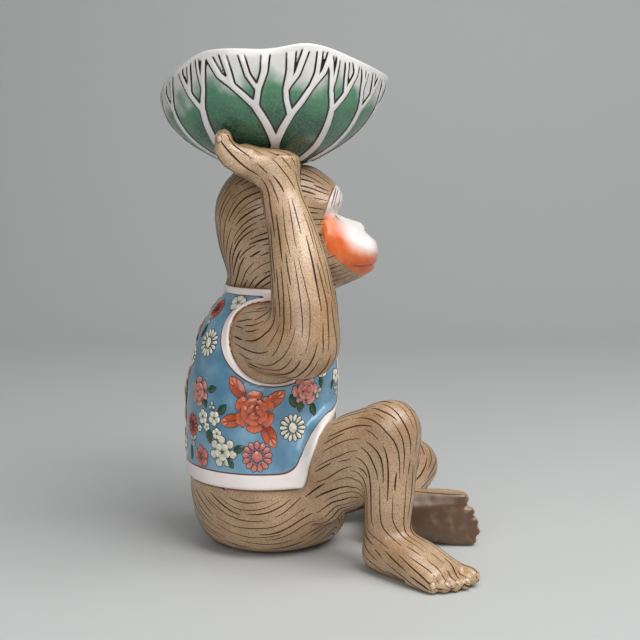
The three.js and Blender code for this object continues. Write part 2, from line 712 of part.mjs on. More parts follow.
// Face: a press-moulded mask with a heavy brow, round eyes, a flat nose and a deep muzzle.
function face() {
  const browLevel = headLevel(0.715);
  const eyeLevel = headLevel(0.6);
  const browFront = sectionAt(skull, browLevel).front;
  const eyeFront = sectionAt(skull, eyeLevel).front;
  // A station: sideways, then shares of the brow's radius back into the skull, down and across.
  const browAt = (x, back, down, share) => [
    x,
    browFront + back * BROW_RADIUS,
    browLevel - down * BROW_RADIUS,
    share * BROW_RADIUS,
    share * BROW_RADIUS,
  ];
  const brow = {
    across: Y_AXIS,
    domes: [0.6 * BROW_RADIUS, 0.6 * BROW_RADIUS],
    rings: 6,
    domeRings: 2,
    sides: 8,
    stations: [
      browAt(-BROW_HALF_LENGTH, 1.58, 0.53, 0.79),
      browAt(-EYE_SPREAD, 0.63, 0.05, 1),
      browAt(0, 0.42, 0, 1),
      browAt(EYE_SPREAD, 0.63, 0.05, 1),
      browAt(BROW_HALF_LENGTH, 1.58, 0.53, 0.79),
    ],
  };
  const nose = {
    domes: [0, 5],
    rings: 3,
    domeRings: 2,
    sides: 8,
    stations: [
      [0, eyeFront, eyeLevel + 2, 5, 5],
      [0, eyeFront - 0.5 * MUZZLE_REACH, eyeLevel - 6, 7, 5],
      [0, eyeFront - 0.8 * MUZZLE_REACH, eyeLevel - 13, 8, 5],
    ],
  };
  const eyes = [-EYE_SPREAD, EYE_SPREAD].map((x) =>
    solid(new THREE.SphereGeometry(EYE_RADIUS, 8, 6).translate(x, eyeFront + 2.5, eyeLevel)),
  );
  const whole = joined([loft(muzzle), loft(brow), loft(nose), ...eyes]);
  return cut(whole, [skullSeat, cavity(muzzle)]);
}

// Ears: small dished discs on the sides of the skull.
function ear(side) {
  const level = headLevel(0.55);
  const section = sectionAt(skull, level);
  const y = section.y - 7;
  const disc = {
    across: Y_AXIS,
    domes: [0, 4],
    rings: 2,
    domeRings: 2,
    sides: 10,
    stations: [
      [side * (section.width - 8), y, level, EAR_HALF_HEIGHT - 5, EAR_HALF_HEIGHT - 2],
      [side * (section.width + 0.3 * EAR_PROUD), y, level, EAR_HALF_HEIGHT - 4, EAR_HALF_HEIGHT],
      [side * (section.width + EAR_PROUD), y + 2, level, EAR_HALF_HEIGHT - 4.5, EAR_HALF_HEIGHT - 0.5],
    ],
  };
  const dish = new THREE.SphereGeometry(EAR_DISH, 8, 6);
  dish.translate(side * (section.width + EAR_PROUD + 0.65 * EAR_DISH), y, level);
  const { upper, fore } = armForms(side);
  return cut(loft(disc), [skullSeat, solid(dish), loft(upper, SEAM), loft(fore, SEAM)]); // clear of the arm
}

// Glazes
const glaze = (color, roughness) => new THREE.MeshStandardMaterial({ color, roughness, metalness: 0 });
const furGlaze = glaze(0xa28c72, 0.3);
const blueGlaze = glaze(0x6e9abf, 0.25);
const faceGlaze = glaze(0xeee4dc, 0.25);
const leafGlaze = glaze(0xdfe8e2, 0.2);

const figure = new THREE.Group();
function addPiece(name, made, material) {
  const mesh = new THREE.Mesh(geometryOf(made), material);
  mesh.name = name;
  figure.add(mesh);
}

addPiece("body", body(), furGlaze);
addPiece("waistcoat", waistcoat(), blueGlaze);
addPiece("head", head(), furGlaze);
addPiece("face", face(), faceGlaze);
for (const [side, name] of [
  [RIGHT, "right"],
  [LEFT, "left"],
]) {
  addPiece(`${name}_ear`, ear(side), furGlaze);
  addPiece(`${name}_arm`, arm(side), furGlaze);
  addPiece(`${name}_hand`, hand(side), furGlaze);
  addPiece(`${name}_leg`, leg(side), furGlaze);
  addPiece(`${name}_foot`, foot(side), furGlaze);
}
addPiece("leaf_bowl", leafBowl(), leafGlaze);

export default figure;
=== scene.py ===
import math

import bmesh
import bpy
import numpy as np
from mathutils import Matrix, Vector
from mathutils.bvhtree import BVHTree
from mathutils.kdtree import KDTree


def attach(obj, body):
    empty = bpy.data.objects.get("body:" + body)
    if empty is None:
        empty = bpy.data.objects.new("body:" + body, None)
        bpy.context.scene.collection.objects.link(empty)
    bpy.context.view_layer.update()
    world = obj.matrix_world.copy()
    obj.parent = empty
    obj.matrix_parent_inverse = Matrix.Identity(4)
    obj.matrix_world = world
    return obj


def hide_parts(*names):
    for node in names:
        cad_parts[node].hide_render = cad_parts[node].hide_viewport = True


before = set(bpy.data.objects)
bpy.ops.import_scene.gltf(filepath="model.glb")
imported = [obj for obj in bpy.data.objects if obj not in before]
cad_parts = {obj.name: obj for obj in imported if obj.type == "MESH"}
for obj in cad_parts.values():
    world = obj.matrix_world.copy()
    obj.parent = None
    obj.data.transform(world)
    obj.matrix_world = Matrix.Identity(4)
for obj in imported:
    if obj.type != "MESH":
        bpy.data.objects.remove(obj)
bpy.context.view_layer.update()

# Trunk, arms, legs, hands and feet: slip castings of brown stoneware, luted together with slip while raw.
# The joints are sponged over before the glaze firing, so one even skin runs from the seat to every finger
# and toe. The skin is grown over all the castings, sponged smooth, and then divided at the joints again.
MM = 0.001
SKIN_GRAIN = 1.15 * MM
WELD = 0.01 * MM
FIGURE = ["body"] + [side + part for side in ("right_", "left_") for part in ("arm", "hand", "leg", "foot")]
# Openings that the potter closes: x, y, lowest and highest point and radius, in millimetres.
BASE_PLUG = (0, 22, 0, 4, 9)
NECK_PLUG = (0, 5, 166, 171.5, 24)
# Wads of clay pressed into the crook of the right thigh and behind both wrists: x, y, z and radius.
WADS = [(-41, -38, 37, 15), (-54, -52, 49, 12), (-55, 3, 253, 10.5), (55, 3, 253, 10.5)]
SPONGE_PASSES = 140
# How lightly fingers and toes are sponged, and how far from the wrist or ankle. It begins to get lighter at a
# share of that distance, and the change is evened out in so many passes.
HAND_SPONGE = (0.06, 20)
FOOT_SPONGE = (0.06, 34)
FIRM_START = 0.3
JOINT_PASSES = 30
# The joint at the neck stays crisp: how lightly it is sponged, and between which distances that fades.
NECK_JOINT = 172
NECK_SPONGE = (0.03, 1, 9)


def in_scene(name, data):
    """A new object in the scene."""
    made = bpy.data.objects.new(name, data)
    bpy.context.scene.collection.objects.link(made)
    return made


def plain_mesh(made):
    """The mesh of an object with its modifiers worked in."""
    return bpy.data.meshes.new_from_object(made.evaluated_get(bpy.context.evaluated_depsgraph_get()))


def read_all(rows, name, width, kind=float):
    """One property of all the points, edges or corners of a mesh, as an array so many numbers wide."""
    found = np.empty(len(rows) * width, kind)
    rows.foreach_get(name, found)
    return found.reshape(-1, width)


def store(mesh, name, numbers):
    """Keeps one number for each point of a mesh, for its glaze to read."""
    mesh.attributes.new(name, "FLOAT", "POINT").data.foreach_set("value", numbers.astype(np.float32))


def clay_copy(name, castings, plugs, wads, grain):
    """A plain mesh of one closed skin over the named castings, plugs in their openings and wads of clay."""
    form = bmesh.new()
    for casting in castings:
        form.from_mesh(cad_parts[casting].data)
    for x, y, low, high, radius in plugs:
        middle = Matrix.Translation((x * MM, y * MM, (low + high) / 2 * MM))
        bmesh.ops.create_cone(
            form, cap_ends=True, segments=24, radius1=radius * MM, radius2=radius * MM,
            depth=(high - low) * MM, matrix=middle,
        )
    for x, y, z, radius in wads:
        middle = Matrix.Translation((x * MM, y * MM, z * MM))
        bmesh.ops.create_icosphere(form, subdivisions=3, radius=radius * MM, matrix=middle)
    bmesh.ops.remove_doubles(form, verts=form.verts, dist=WELD)
    lump = in_scene(name, bpy.data.meshes.new(name))
    form.to_mesh(lump.data)
    form.free()
    remesh = lump.modifiers.new("skin", "REMESH")
    remesh.mode = "VOXEL"
    remesh.voxel_size = grain
    skin = plain_mesh(lump)
    bpy.data.objects.remove(lump)
    return skin


def spread_evenly(values, edges, share, passes):
    """Each point's values drawn towards its neighbours' mean, by a share of the way, several times over."""
    a, b = edges.T
    count = len(values)
    neighbours = np.maximum(np.bincount(a, minlength=count) + np.bincount(b, minlength=count), 1)
    rows = values.reshape(count, -1)
    for _ in range(passes):
        drawn = [np.bincount(a, part[b], count) + np.bincount(b, part[a], count) for part in rows.T]
        rows = rows + share * (np.stack(drawn, axis=1) / neighbours[:, None] - rows)
    return rows.reshape(values.shape)


def unit(vectors):
    """The same directions with length one."""
    return vectors / np.maximum(np.linalg.norm(vectors, axis=1), 1e-12)[:, None]


def quad_normals(points, quads):
    """Outward unit normals of the points of a mesh of four-sided faces."""
    across = np.cross(points[quads[:, 2]] - points[quads[:, 0]], points[quads[:, 3]] - points[quads[:, 1]])
    normals = np.zeros_like(points)
    for axis in range(3):
        for corner in range(4):
            normals[:, axis] += np.bincount(quads[:, corner], across[:, axis], len(points))
    return unit(normals)


def ease(low, high, values):
    """0 below low, 1 above high, and a smooth rise between them."""
    share = np.clip((values - low) / (high - low), 0, 1)
    return share * share * (3 - 2 * share)


class Skin:
    """A sponged clay surface: its points, faces, normals, and the casting that each point belongs to."""

    def __init__(self, name, castings, plugs, wads, grain, passes, firm):
        mesh = clay_copy(name, castings, plugs, wads, grain)
        points = read_all(mesh.vertices, "co", 3)
        self.edges = read_all(mesh.edges, "vertices", 2, np.int32)
        self.quads = read_all(mesh.loops, "vertex_index", 1, np.int32).reshape(-1, 4)
        bpy.data.meshes.remove(mesh)
        self.castings = castings
        self.owner = self.nearest_casting(points)
        share = np.ones(len(points))
        for casting, (lightest, reach) in firm.items():
            mine = self.owner == castings.index(casting)
            crossing = self.edges[mine[self.edges[:, 0]] != mine[self.edges[:, 1]]]
            joint = KDTree(len(crossing))
            for number, point in enumerate(points[crossing[:, 0]].tolist()):
                joint.insert(point, number)
            joint.balance()
            away = np.array([joint.find(point)[2] for point in points[mine].tolist()])
            share[mine] = 1 - (1 - lightest) * ease(FIRM_START * reach, reach, away / MM)
        lightest, near, far = NECK_SPONGE
        share *= np.clip((np.abs(points[:, 2] / MM - NECK_JOINT) - near) / (far - near), lightest, 1)
        share = 0.5 * spread_evenly(share, self.edges, 0.5, JOINT_PASSES)[:, None]
        # Twice the first sponging less the second keeps the volume.
        once = spread_evenly(points, self.edges, share, passes)
        self.points = 2 * once - spread_evenly(once, self.edges, share, passes)
        self.points[:, 2] = np.maximum(self.points[:, 2], 0)
        self.settle()

    def settle(self):
        """Works out again what follows from the points."""
        self.normals = quad_normals(self.points, self.quads)
        self.quad_owner = self.owner[self.quads[:, 0]]
        self.middles = self.points[self.quads].mean(axis=1)
        self.tree = BVHTree.FromPolygons(self.points.tolist(), self.quads.tolist())

    def nearest_casting(self, points):
        """The number of the casting whose surface is nearest to each point."""
        corners, triangles, owners = [], [], []
        for number, casting in enumerate(self.castings):
            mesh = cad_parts[casting].data
            start = len(corners)
            corners += [vertex.co for vertex in mesh.vertices]
            triangles += [[start + i for i in face.vertices] for face in mesh.polygons]
            owners += [number] * len(mesh.polygons)
        tree = BVHTree.FromPolygons(corners, triangles)
        return np.array([owners[tree.find_nearest(point)[2]] for point in points.tolist()])

    def tree_of(self, *castings):
        """A search tree of only the named castings' part of the skin."""
        chosen = np.isin(self.quad_owner, [self.castings.index(casting) for casting in castings])
        return BVHTree.FromPolygons(self.points.tolist(), self.quads[chosen].tolist())

    def piece(self, casting, glaze, values):
        """The finished piece of one casting, closed at its joints, with values at its points."""
        chosen = self.quads[self.quad_owner == self.castings.index(casting)]
        kept, local = np.unique(chosen, return_inverse=True)
        mesh = bpy.data.meshes.new(casting + "_skin")
        mesh.from_pydata(self.points[kept].tolist(), [], local.reshape(-1, 4).tolist())
        form = bmesh.new()
        form.from_mesh(mesh)
        rims = [edge for edge in form.edges if edge.is_boundary]
        caps = bmesh.ops.holes_fill(form, edges=rims, sides=0)["faces"]
        bmesh.ops.triangulate(form, faces=caps)
        form.to_mesh(mesh)
        form.free()
        mesh.shade_smooth()
        mesh.normals_split_custom_set_from_vertices(self.normals[kept].tolist())
        for name, numbers in values.items():
            store(mesh, name, numbers[kept])
        mesh.materials.append(glaze.material)
        made = in_scene(casting + "_skin", mesh)
        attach(made, "root")
        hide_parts(casting)


ends = {casting: HAND_SPONGE for casting in FIGURE if "hand" in casting}
ends |= {casting: FOOT_SPONGE for casting in FIGURE if "foot" in casting}
figure = Skin("figure", FIGURE, [BASE_PLUG, NECK_PLUG], WADS, SKIN_GRAIN, SPONGE_PASSES, ends)


def srgb(code):
    """A colour as it is seen, six hexadecimal digits, in the linear values that a shader takes."""
    shares = [int(code[i : i + 2], 16) / 255 for i in (0, 2, 4)]
    return (*[s / 12.92 if s <= 0.04045 else ((s + 0.055) / 1.055) ** 2.4 for s in shares], 1.0)


def add_node(tree, kind, settings=(), **inputs):
    """A node in a tree, with its properties set and its inputs linked or given a value. Inputs go by name,
    or by number after an i."""
    node = tree.nodes.new(kind)
    for name, value in dict(settings).items():
        setattr(node, name, value)
    for name, value in inputs.items():
        socket = node.inputs[int(name[1:]) if name[1:].isdigit() else name.replace("_", " ")]
        if isinstance(value, bpy.types.NodeSocket):
            tree.links.new(value, socket)
        else:
            socket.default_value = srgb(value) if socket.type == "RGBA" else value
    return node


def node_math(operation, first, second=0.0):
    """A number that a node works out from two others, of which one comes from another node."""
    tree = (first if isinstance(first, bpy.types.NodeSocket) else second).id_data
    return add_node(tree, "ShaderNodeMath", {"operation": operation}, i0=first, i1=second).outputs[0]


class Glaze:
    """A material under construction: its shader's inputs, and short ways to add the nodes it needs."""

    def __init__(self, name, roughness, coat, specular=0.5):
        self.material = bpy.data.materials.new(name)
        self.material.use_nodes = True
        self.tree = self.material.node_tree
        self.shader = self.tree.nodes["Principled BSDF"].inputs
        self.shader["Roughness"].default_value = roughness
        self.shader["Coat Weight"].default_value = coat
        self.shader["Coat Roughness"].default_value = 0.06
        self.shader["Specular IOR Level"].default_value = specular
        self.place = self.add("TexCoord").outputs["Object"]

    def add(self, kind, settings=(), **inputs):
        return add_node(self.tree, "ShaderNode" + kind, settings, **inputs)

    def attribute(self, name, output="Fac"):
        return self.add("Attribute", {"attribute_name": name}).outputs[output]

    def noise(self, scale, detail=3.0):
        return self.add("TexNoise", Scale=scale, Detail=detail, Vector=self.place).outputs["Fac"]

    def ramp(self, source, low, high, kind="SMOOTHSTEP"):
        """0 where the source is below low, 1 where it is above high. A low above high turns it round."""
        settings = {"interpolation_type": kind}
        return self.add("MapRange", settings, Value=source, From_Min=low, From_Max=high).outputs["Result"]

    def mix(self, share, first, second, blend="MIX"):
        """A colour between two, each a code or another node's colour."""
        settings = {"data_type": "RGBA", "blend_type": blend}
        return self.add("Mix", settings, Factor=share, i6=first, i7=second).outputs[2]

    def clouds(self, scale, low, high, first, second, detail=3.0):
        """Two colours in soft clouds."""
        return self.mix(self.ramp(self.noise(scale, detail), low, high), first, second)

    def uneven(self, scale, height):
        """A number that wanders about nought."""
        return node_math("MULTIPLY", node_math("SUBTRACT", self.noise(scale), 0.5), height)

    def coat(self, colour, grain=0, strength=0):
        """Gives the shader its colour, and its surface a fine grain."""
        self.tree.links.new(colour, self.shader["Base Color"])
        if grain:
            bump = self.add("Bump", Strength=strength, Distance=0.4 * MM, Height=self.noise(grain))
            self.tree.links.new(bump.outputs["Normal"], self.shader["Normal"])


def fur_colour(glaze):
    """The colour of the brown fur glaze: cloudy, with fine dark and pale speckles."""
    warm = glaze.clouds(26, 0.3, 0.7, "a8845e", "c8a680")
    dark = node_math("MULTIPLY", glaze.ramp(glaze.noise(1350, 2.0), 0.5, 0.64), 0.68)
    pale = node_math("MULTIPLY", glaze.ramp(glaze.noise(1000, 2.0), 0.58, 0.7), 0.35)
    return glaze.mix(pale, glaze.mix(dark, warm, "68482b"), "e2d0b8")


# The sole of the folded left foot is a darker brown, in patches.
sole = ease(0.3, 0.7, -figure.normals[:, 0]) * (figure.owner == FIGURE.index("left_foot"))
fur_glaze = Glaze("speckled fur glaze", 0.42, 0.18, 1.0)
patches = fur_glaze.ramp(fur_glaze.noise(140, 4.0), -0.15, 0.55)
dark_sole_share = node_math("MULTIPLY", fur_glaze.attribute("sole"), patches)
fur_glaze.coat(fur_glaze.mix(dark_sole_share, fur_colour(fur_glaze), "56360f"), 260, 0.1)
for casting in FIGURE:
    figure.piece(casting, fur_glaze, {"sole": sole})

# Waistcoat: a thin sheet of clay laid over the trunk and the hips while both are soft. It is open in front,
# cut away over the thighs, and round at its edges. Blue enamel covers it, with white bands along every edge.
# All its sizes are in millimetres, heights above the table.
CLOTH = 2.2
CLOTH_GRAIN = 1.4
EDGE_ROUND = 2.0
EDGE_SUNK = 0.6
BAND_PROUD = 0.35
HEM = 49
HEM_BAND = 11
COLLAR_TOP = 176.8
COLLAR_FOLD = 169.5
COLLAR_BAND = 5.4
COLLAR_PROUD = 0.7
CORNER_ROUND = 10
CLAY_SHEET = 1.5
BAND_STEP = 0.8
COLLAR_EASE = 3
TRUNK_MIDDLE = 4
OPENED_RADIUS = 58
# A distance past every edge, and the least length and slope that are divided by.
FAR_OFF = 50.0
LEAST_SPAN = 0.3
LEAST_SLOPE = 0.004
# The front edge from the collar down: degrees round from the front, height, and width of its white band.
FRONT_EDGE = [
    (15.9, COLLAR_TOP, 4), (15.8, 160, 4), (15, 140, 4), (14.3, 120, 4), (14.4, 101, 4), (15.5, 97.5, 4.5),
    (18.5, 95, 5), (22, 93, 5.5), (29, 89, 6.5), (37, 83.5, 7.5), (43.5, 78, 8.5), (48.5, 72, 9.5),
    (54, 63.5, 10.5), (58, 55, 11), (61.5, HEM, HEM_BAND),
]
# The armhole and the outer edge of its band seen from the side: half length and half height of two ovals.
ARMHOLE_PLACE = (-6, 143)
ARMHOLE = (27.5, 25)
ARMHOLE_BAND = (33.5, 27.2)
# Only what lies further than this from the figure's middle is beside an arm.
BESIDE = 15
# Points that lie this many grains past an edge are drawn back to it.
SNAP = 1.1
# How far from the middle a line starts that looks for a surface from outside, in metres.
OUTSIDE = 0.15
# Below its top the sheet drapes over thighs within reach, and is lifted where it has sunk into the skin.
DRAPE_TOP = 100
DRAPE_REACH = 60
DRAPE_SUNK = 12
DRAPE_ROUNDS = 3
SHOULDER = 30
trunk_form = Skin("trunk form", ["body"], [], [], 2 * MM, SPONGE_PASSES // 3, {})
hips = figure.tree_of("body", "right_leg", "left_leg")
shoulders = figure.tree_of("body", "right_arm", "left_arm")


def seen_from_outside(tree, angle, height):
    """Where a level line to the trunk's middle meets a surface. Angles run from the front to the right."""
    outwards = Vector((-math.sin(angle), -math.cos(angle), 0))
    middle = Vector((0, TRUNK_MIDDLE, height)) * MM
    return tree.ray_cast(middle + outwards * OUTSIDE, -outwards, OUTSIDE)


def seen_from_side(tree, side, forward, height):
    """Where a level line straight from the side, 1 for the left and -1 for the right, meets a surface."""
    return tree.ray_cast(Vector((OUTSIDE * side, forward, height)), Vector((-side, 0, 0)), OUTSIDE)


def nearest_on(start, end, places):
    """The points of a line nearest to some places, how far they are, and their shares of its length."""
    along = end - start
    share = np.clip((places - start) @ along / (along @ along), 0, 1)
    found = start + share[:, None] * along
    return found, np.linalg.norm(places - found, axis=1), share


def oval(places, half_sizes):
    """How far places seen from the side are from the armhole's middle, as a share of an oval."""
    return np.hypot(*((places - ARMHOLE_PLACE) / half_sizes).T)


# The cloth opened out flat, with its left half folded on its right: a grid of points inside its edges.
edge = [(np.array([math.radians(turn) * OPENED_RADIUS, height]), band) for turn, height, band in FRONT_EDGE]
lines = list(zip(edge, edge[1:]))
for (corner, _), band in ((edge[-1], HEM_BAND), (edge[0], COLLAR_BAND)):
    lines.append(((corner, band), (np.array([math.pi * OPENED_RADIUS, corner[1]]), band)))
around = np.radians(np.arange(7, 353.5, math.degrees(CLOTH_GRAIN / OPENED_RADIUS)))
upward = np.arange(HEM - 2 * CLOTH_GRAIN, COLLAR_TOP + 2 * CLOTH_GRAIN, CLOTH_GRAIN)
angles, heights = (grid.ravel() for grid in np.meshgrid(around, upward))
turned = angles > math.pi
flat = np.stack([np.where(turned, 2 * math.pi - angles, angles) * OPENED_RADIUS, heights], axis=1)
gap = np.full(len(flat), np.inf)
nearest = flat.copy()
depths = []
for (start, start_band), (end, end_band) in lines:
    place, away, share = nearest_on(start, end, flat)
    closer = away < gap
    gap[closer] = away[closer]
    nearest[closer] = place[closer]
    depths.append(start_band + share * (end_band - start_band) - away)
upright, level = np.max(depths[:-2], axis=0), np.max(depths[-2:], axis=0)
overlap = np.maximum(CORNER_ROUND - np.abs(upright - level), 0)
band = np.maximum(upright, level) + overlap**2 / (4 * CORNER_ROUND)
corners = np.array([corner for corner, _ in edge])[::-1]
inside = flat[:, 0] > np.interp(heights, corners[:, 1], corners[:, 0])
inside &= (heights > HEM) & (heights < COLLAR_TOP)
snapped = ~inside & (gap < SNAP * CLOTH_GRAIN)
flat[snapped] = nearest[snapped]
gap[snapped] = 0
kept = inside | snapped
folded = flat[:, 0] / OPENED_RADIUS
angles = np.where(turned, 2 * math.pi - folded, folded)
heights = flat[:, 1]

# The points laid on the trunk, with how far out a thigh lies beside each.
cloth_points = np.zeros((len(angles), 3))
draped = np.zeros(len(angles))
for i in np.flatnonzero(kept):
    place = seen_from_outside(trunk_form.tree, angles[i], min(heights[i], COLLAR_FOLD))[0]
    if place is None:
        kept[i] = False
        continue
    if heights[i] < DRAPE_TOP:
        side = math.copysign(1, place.x)
        thigh = seen_from_side(hips, side, place.y, place.z)[0]
        if thigh and 0 < side * (thigh.x - place.x) < DRAPE_REACH * MM:
            draped[i] = side * (thigh.x - place.x)
    cloth_points[i] = place
# Round the armhole, points just inside the edge are drawn back to it, and the rest of the hole is cut out.
from_side = cloth_points[:, 1:] / MM
through = oval(from_side, ARMHOLE)
at_arm = kept & (np.abs(cloth_points[:, 0]) > BESIDE * MM) & (through < 1)
cut_out = at_arm & (through < 1 - SNAP * CLOTH_GRAIN / ARMHOLE[1])
for i in np.flatnonzero(at_arm & ~cut_out):
    forward, height = (ARMHOLE_PLACE + (from_side[i] - ARMHOLE_PLACE) / through[i]) * MM
    side = math.copysign(1, cloth_points[i, 0])
    cloth_points[i] = seen_from_side(trunk_form.tree, side, forward, height)[0]
kept &= ~cut_out
columns = len(around)
first = (np.arange(len(upward) - 1)[:, None] * columns + np.arange(columns - 1)).ravel()
cells = np.stack([first, first + 1, first + columns + 1, first + columns], axis=1)
cells = cells[kept[cells].all(axis=1)][:, ::-1]
used, cells = np.unique(cells, return_inverse=True)
cells = cells.reshape(-1, 4)
cloth_points, heights, gap, band, draped = (row[used] for row in (cloth_points, heights, gap, band, draped))
# Where the cloth drapes over a thigh it is drawn smooth, and then laid on the skin again.
threads = np.concatenate([cells[:, [corner, (corner + 1) % 4]] for corner in range(4)])
slack = np.maximum(draped, spread_evenly(draped, threads, 0.5, 60))
slack = spread_evenly(slack, threads, 0.5, 24)
undraped = cloth_points.copy()
cloth_points[:, 0] += np.sign(cloth_points[:, 0]) * slack
low = heights < DRAPE_TOP


def along_cloth(values):
    """Values that are zero on some line, turned into millimetres from that line along the cloth."""
    first, second, _, last = cells.T
    slope = np.zeros(len(cells))
    for end in (second, last):
        span = np.linalg.norm(cloth_points[end] - cloth_points[first], axis=1) / MM
        slope += ((values[end] - values[first]) / np.maximum(span, LEAST_SPAN)) ** 2
    total = np.bincount(cells.ravel(), np.repeat(np.sqrt(slope), 4))
    steepness = spread_evenly(total / np.bincount(cells.ravel()), threads, 0.5, 8)
    return values / np.maximum(steepness, LEAST_SLOPE)


from_side = cloth_points[:, 1:] / MM
beside = np.abs(cloth_points[:, 0]) > BESIDE * MM
hole_gap = np.where(beside, along_cloth(oval(from_side, ARMHOLE) - 1), FAR_OFF)
hole_band = np.where(beside, along_cloth(1 - oval(from_side, ARMHOLE_BAND)), -FAR_OFF)
band = np.maximum(band, hole_band)
gap = np.minimum(gap, np.maximum(hole_gap, 0))
rounded = np.sqrt(1 - (1 - np.clip(gap / EDGE_ROUND, 0, 1)) ** 2)
offset = -EDGE_SUNK + (CLOTH + EDGE_SUNK) * rounded + BAND_PROUD * ease(0, BAND_STEP, band)
offset += COLLAR_PROUD * ease(COLLAR_FOLD - COLLAR_EASE, COLLAR_FOLD, heights)
for _ in range(DRAPE_ROUNDS):
    for i, place in enumerate(cloth_points.tolist()):
        if not low[i] and abs(place[0]) < SHOULDER * MM:
            continue
        near, normal, _, away = (hips if low[i] else shoulders).find_nearest(place)
        if away < DRAPE_SUNK * MM and (near - Vector(place)).dot(normal) > 0:
            cloth_points[i] = near
    drawn = spread_evenly(cloth_points - undraped, threads, 0.5, 10)
    cloth_points[low] = (undraped + drawn)[low]
cloth_points[:, 2] += np.maximum(heights - COLLAR_FOLD, 0) * MM
facing = unit(spread_evenly(quad_normals(cloth_points, cells), threads, 0.5, 5))
cloth_points += facing * (offset * MM)[:, None]
waistcoat_mesh = bpy.data.meshes.new("waistcoat_enamel")
waistcoat_mesh.from_pydata(cloth_points.tolist(), [], cells.tolist())
waistcoat_mesh.shade_smooth()
store(waistcoat_mesh, "band", band)
store(waistcoat_mesh, "edge_gap", gap)
waistcoat = in_scene("waistcoat_enamel", waistcoat_mesh)
thickness = waistcoat.modifiers.new("clay sheet", "SOLIDIFY")
thickness.thickness = CLAY_SHEET * MM
thickness.offset = -1
cloth_tree = BVHTree.FromPolygons(cloth_points.tolist(), cells.tolist())

blue_glaze = Glaze("blue waistcoat enamel", 0.2, 0.5)
in_band = blue_glaze.attribute("band")
blue = blue_glaze.clouds(55, 0.32, 0.72, "5683a0", "80a9c0", 4.0)
white = blue_glaze.clouds(40, 0.3, 0.7, "f5eeea", "efe3dd")
banded = blue_glaze.mix(blue_glaze.ramp(in_band, -0.1, 0.1, "LINEAR"), blue, white)
inner_line = blue_glaze.ramp(node_math("ABSOLUTE", in_band), 0.6, 0.35)
outer_line = blue_glaze.ramp(blue_glaze.attribute("edge_gap"), 0.7, 0.35)
blue_glaze.coat(blue_glaze.mix(outer_line, blue_glaze.mix(inner_line, banded, "6b352c"), "955a3a"), 150, 0.08)
waistcoat_mesh.materials.append(blue_glaze.material)
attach(waistcoat, "root")
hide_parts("waistcoat")

# Flowers on the waistcoat: petals and leaves of thick enamel, trailed by hand on the blue ground, each with a
# dark outline brushed under it. They are traditional garden flowers: peonies, daisies and plum blossom.
LINE_COLOUR = "2e211d"
LINE_HEIGHT = 0.12
PETAL_COLUMNS = 5
PETAL_ROWS = 7
PETAL_CROWN = 0.6


def new_tree(name, inputs):
    """A geometry tree with named inputs: the tree and the outputs of its input node, by name."""
    tree = bpy.data.node_groups.new(name, "GeometryNodeTree")
    for label, kind in inputs.items():
        tree.interface.new_socket(label, in_out="INPUT", socket_type="NodeSocket" + kind)
    tree.interface.new_socket("Made", in_out="OUTPUT", socket_type="NodeSocketGeometry")
    return tree, tree.nodes.new("NodeGroupInput").outputs


def end_tree(tree, made, material):
    """Ends a tree: what it made becomes plain faces of one material."""
    real = add_node(tree, "GeometryNodeRealizeInstances", i0=made).outputs[0]
    coated = add_node(tree, "GeometryNodeSetMaterial", i0=real, Material=material).outputs[0]
    add_node(tree, "NodeGroupOutput", i0=coated)


def made_by(tree, start, settings):
    """The plain mesh that a tree makes out of a starting mesh, with the tree's named inputs set."""
    holder = in_scene(tree.name, start)
    modifier = holder.modifiers.new(tree.name, "NODES")
    modifier.node_group = tree
    for item in tree.interface.items_tree:
        if item.name in settings:
            modifier[item.identifier] = settings[item.name]
    made = plain_mesh(holder)
    bpy.data.objects.remove(holder)
    return made


def arch(share, power):
    """A hump that rises from 0 to 1 and falls back, for a share that goes from 0 to 1."""
    hump = node_math("SINE", node_math("MULTIPLY", share, math.pi))
    return node_math("POWER", node_math("MAXIMUM", hump, 0.0), power)


enamel = Glaze("flower enamel", 0.18, 0.6)
mottle = enamel.ramp(enamel.noise(400), 0.35, 0.75)
enamel.coat(enamel.mix(mottle, enamel.attribute("enamel", "Color"), "dcd6d0", "MULTIPLY"))

whorl, given = new_tree(
    "enamel whorl",
    {
        "Start": "Geometry", "Petals": "Int", "Gap": "Float", "Reach": "Float", "Half width": "Float",
        "Widest": "Float", "Fullness": "Float", "Rise": "Float", "Glaze": "Material",
    },
)
grid = add_node(whorl, "GeometryNodeMeshGrid", i0=1.0, i1=1.0, i2=PETAL_COLUMNS, i3=PETAL_ROWS).outputs[0]
position = whorl.nodes.new("GeometryNodeInputPosition").outputs[0]
across, upward = add_node(whorl, "ShaderNodeSeparateXYZ", i0=position).outputs[:2]
along = node_math("ADD", upward, 0.5)
marked = add_node(whorl, "GeometryNodeStoreNamedAttribute", Geometry=grid, Name="tip", Value=along).outputs[0]
swell = arch(node_math("POWER", along, given["Widest"]), given["Fullness"])
wide = node_math("MULTIPLY", swell, node_math("MULTIPLY", given["Half width"], 2.0))
sideways = node_math("MULTIPLY", across, wide)
outward = node_math("ADD", given["Gap"], node_math("MULTIPLY", along, given["Reach"]))
doubled = node_math("MULTIPLY", across, 2.0)
dome = node_math("SUBTRACT", 1.0, node_math("MULTIPLY", doubled, doubled))
lift = node_math("MULTIPLY", given["Rise"], node_math("MULTIPLY", dome, arch(along, PETAL_CROWN)))
petal_place = add_node(whorl, "ShaderNodeCombineXYZ", i0=sideways, i1=outward, i2=lift).outputs[0]
petal = add_node(whorl, "GeometryNodeSetPosition", i0=marked, Position=petal_place).outputs[0]
petal = add_node(whorl, "GeometryNodeMergeByDistance", Geometry=petal, Distance=2 * WELD).outputs[0]
count = add_node(whorl, "GeometryNodePoints", Count=given["Petals"]).outputs[0]
number = whorl.nodes.new("GeometryNodeInputIndex").outputs[0]
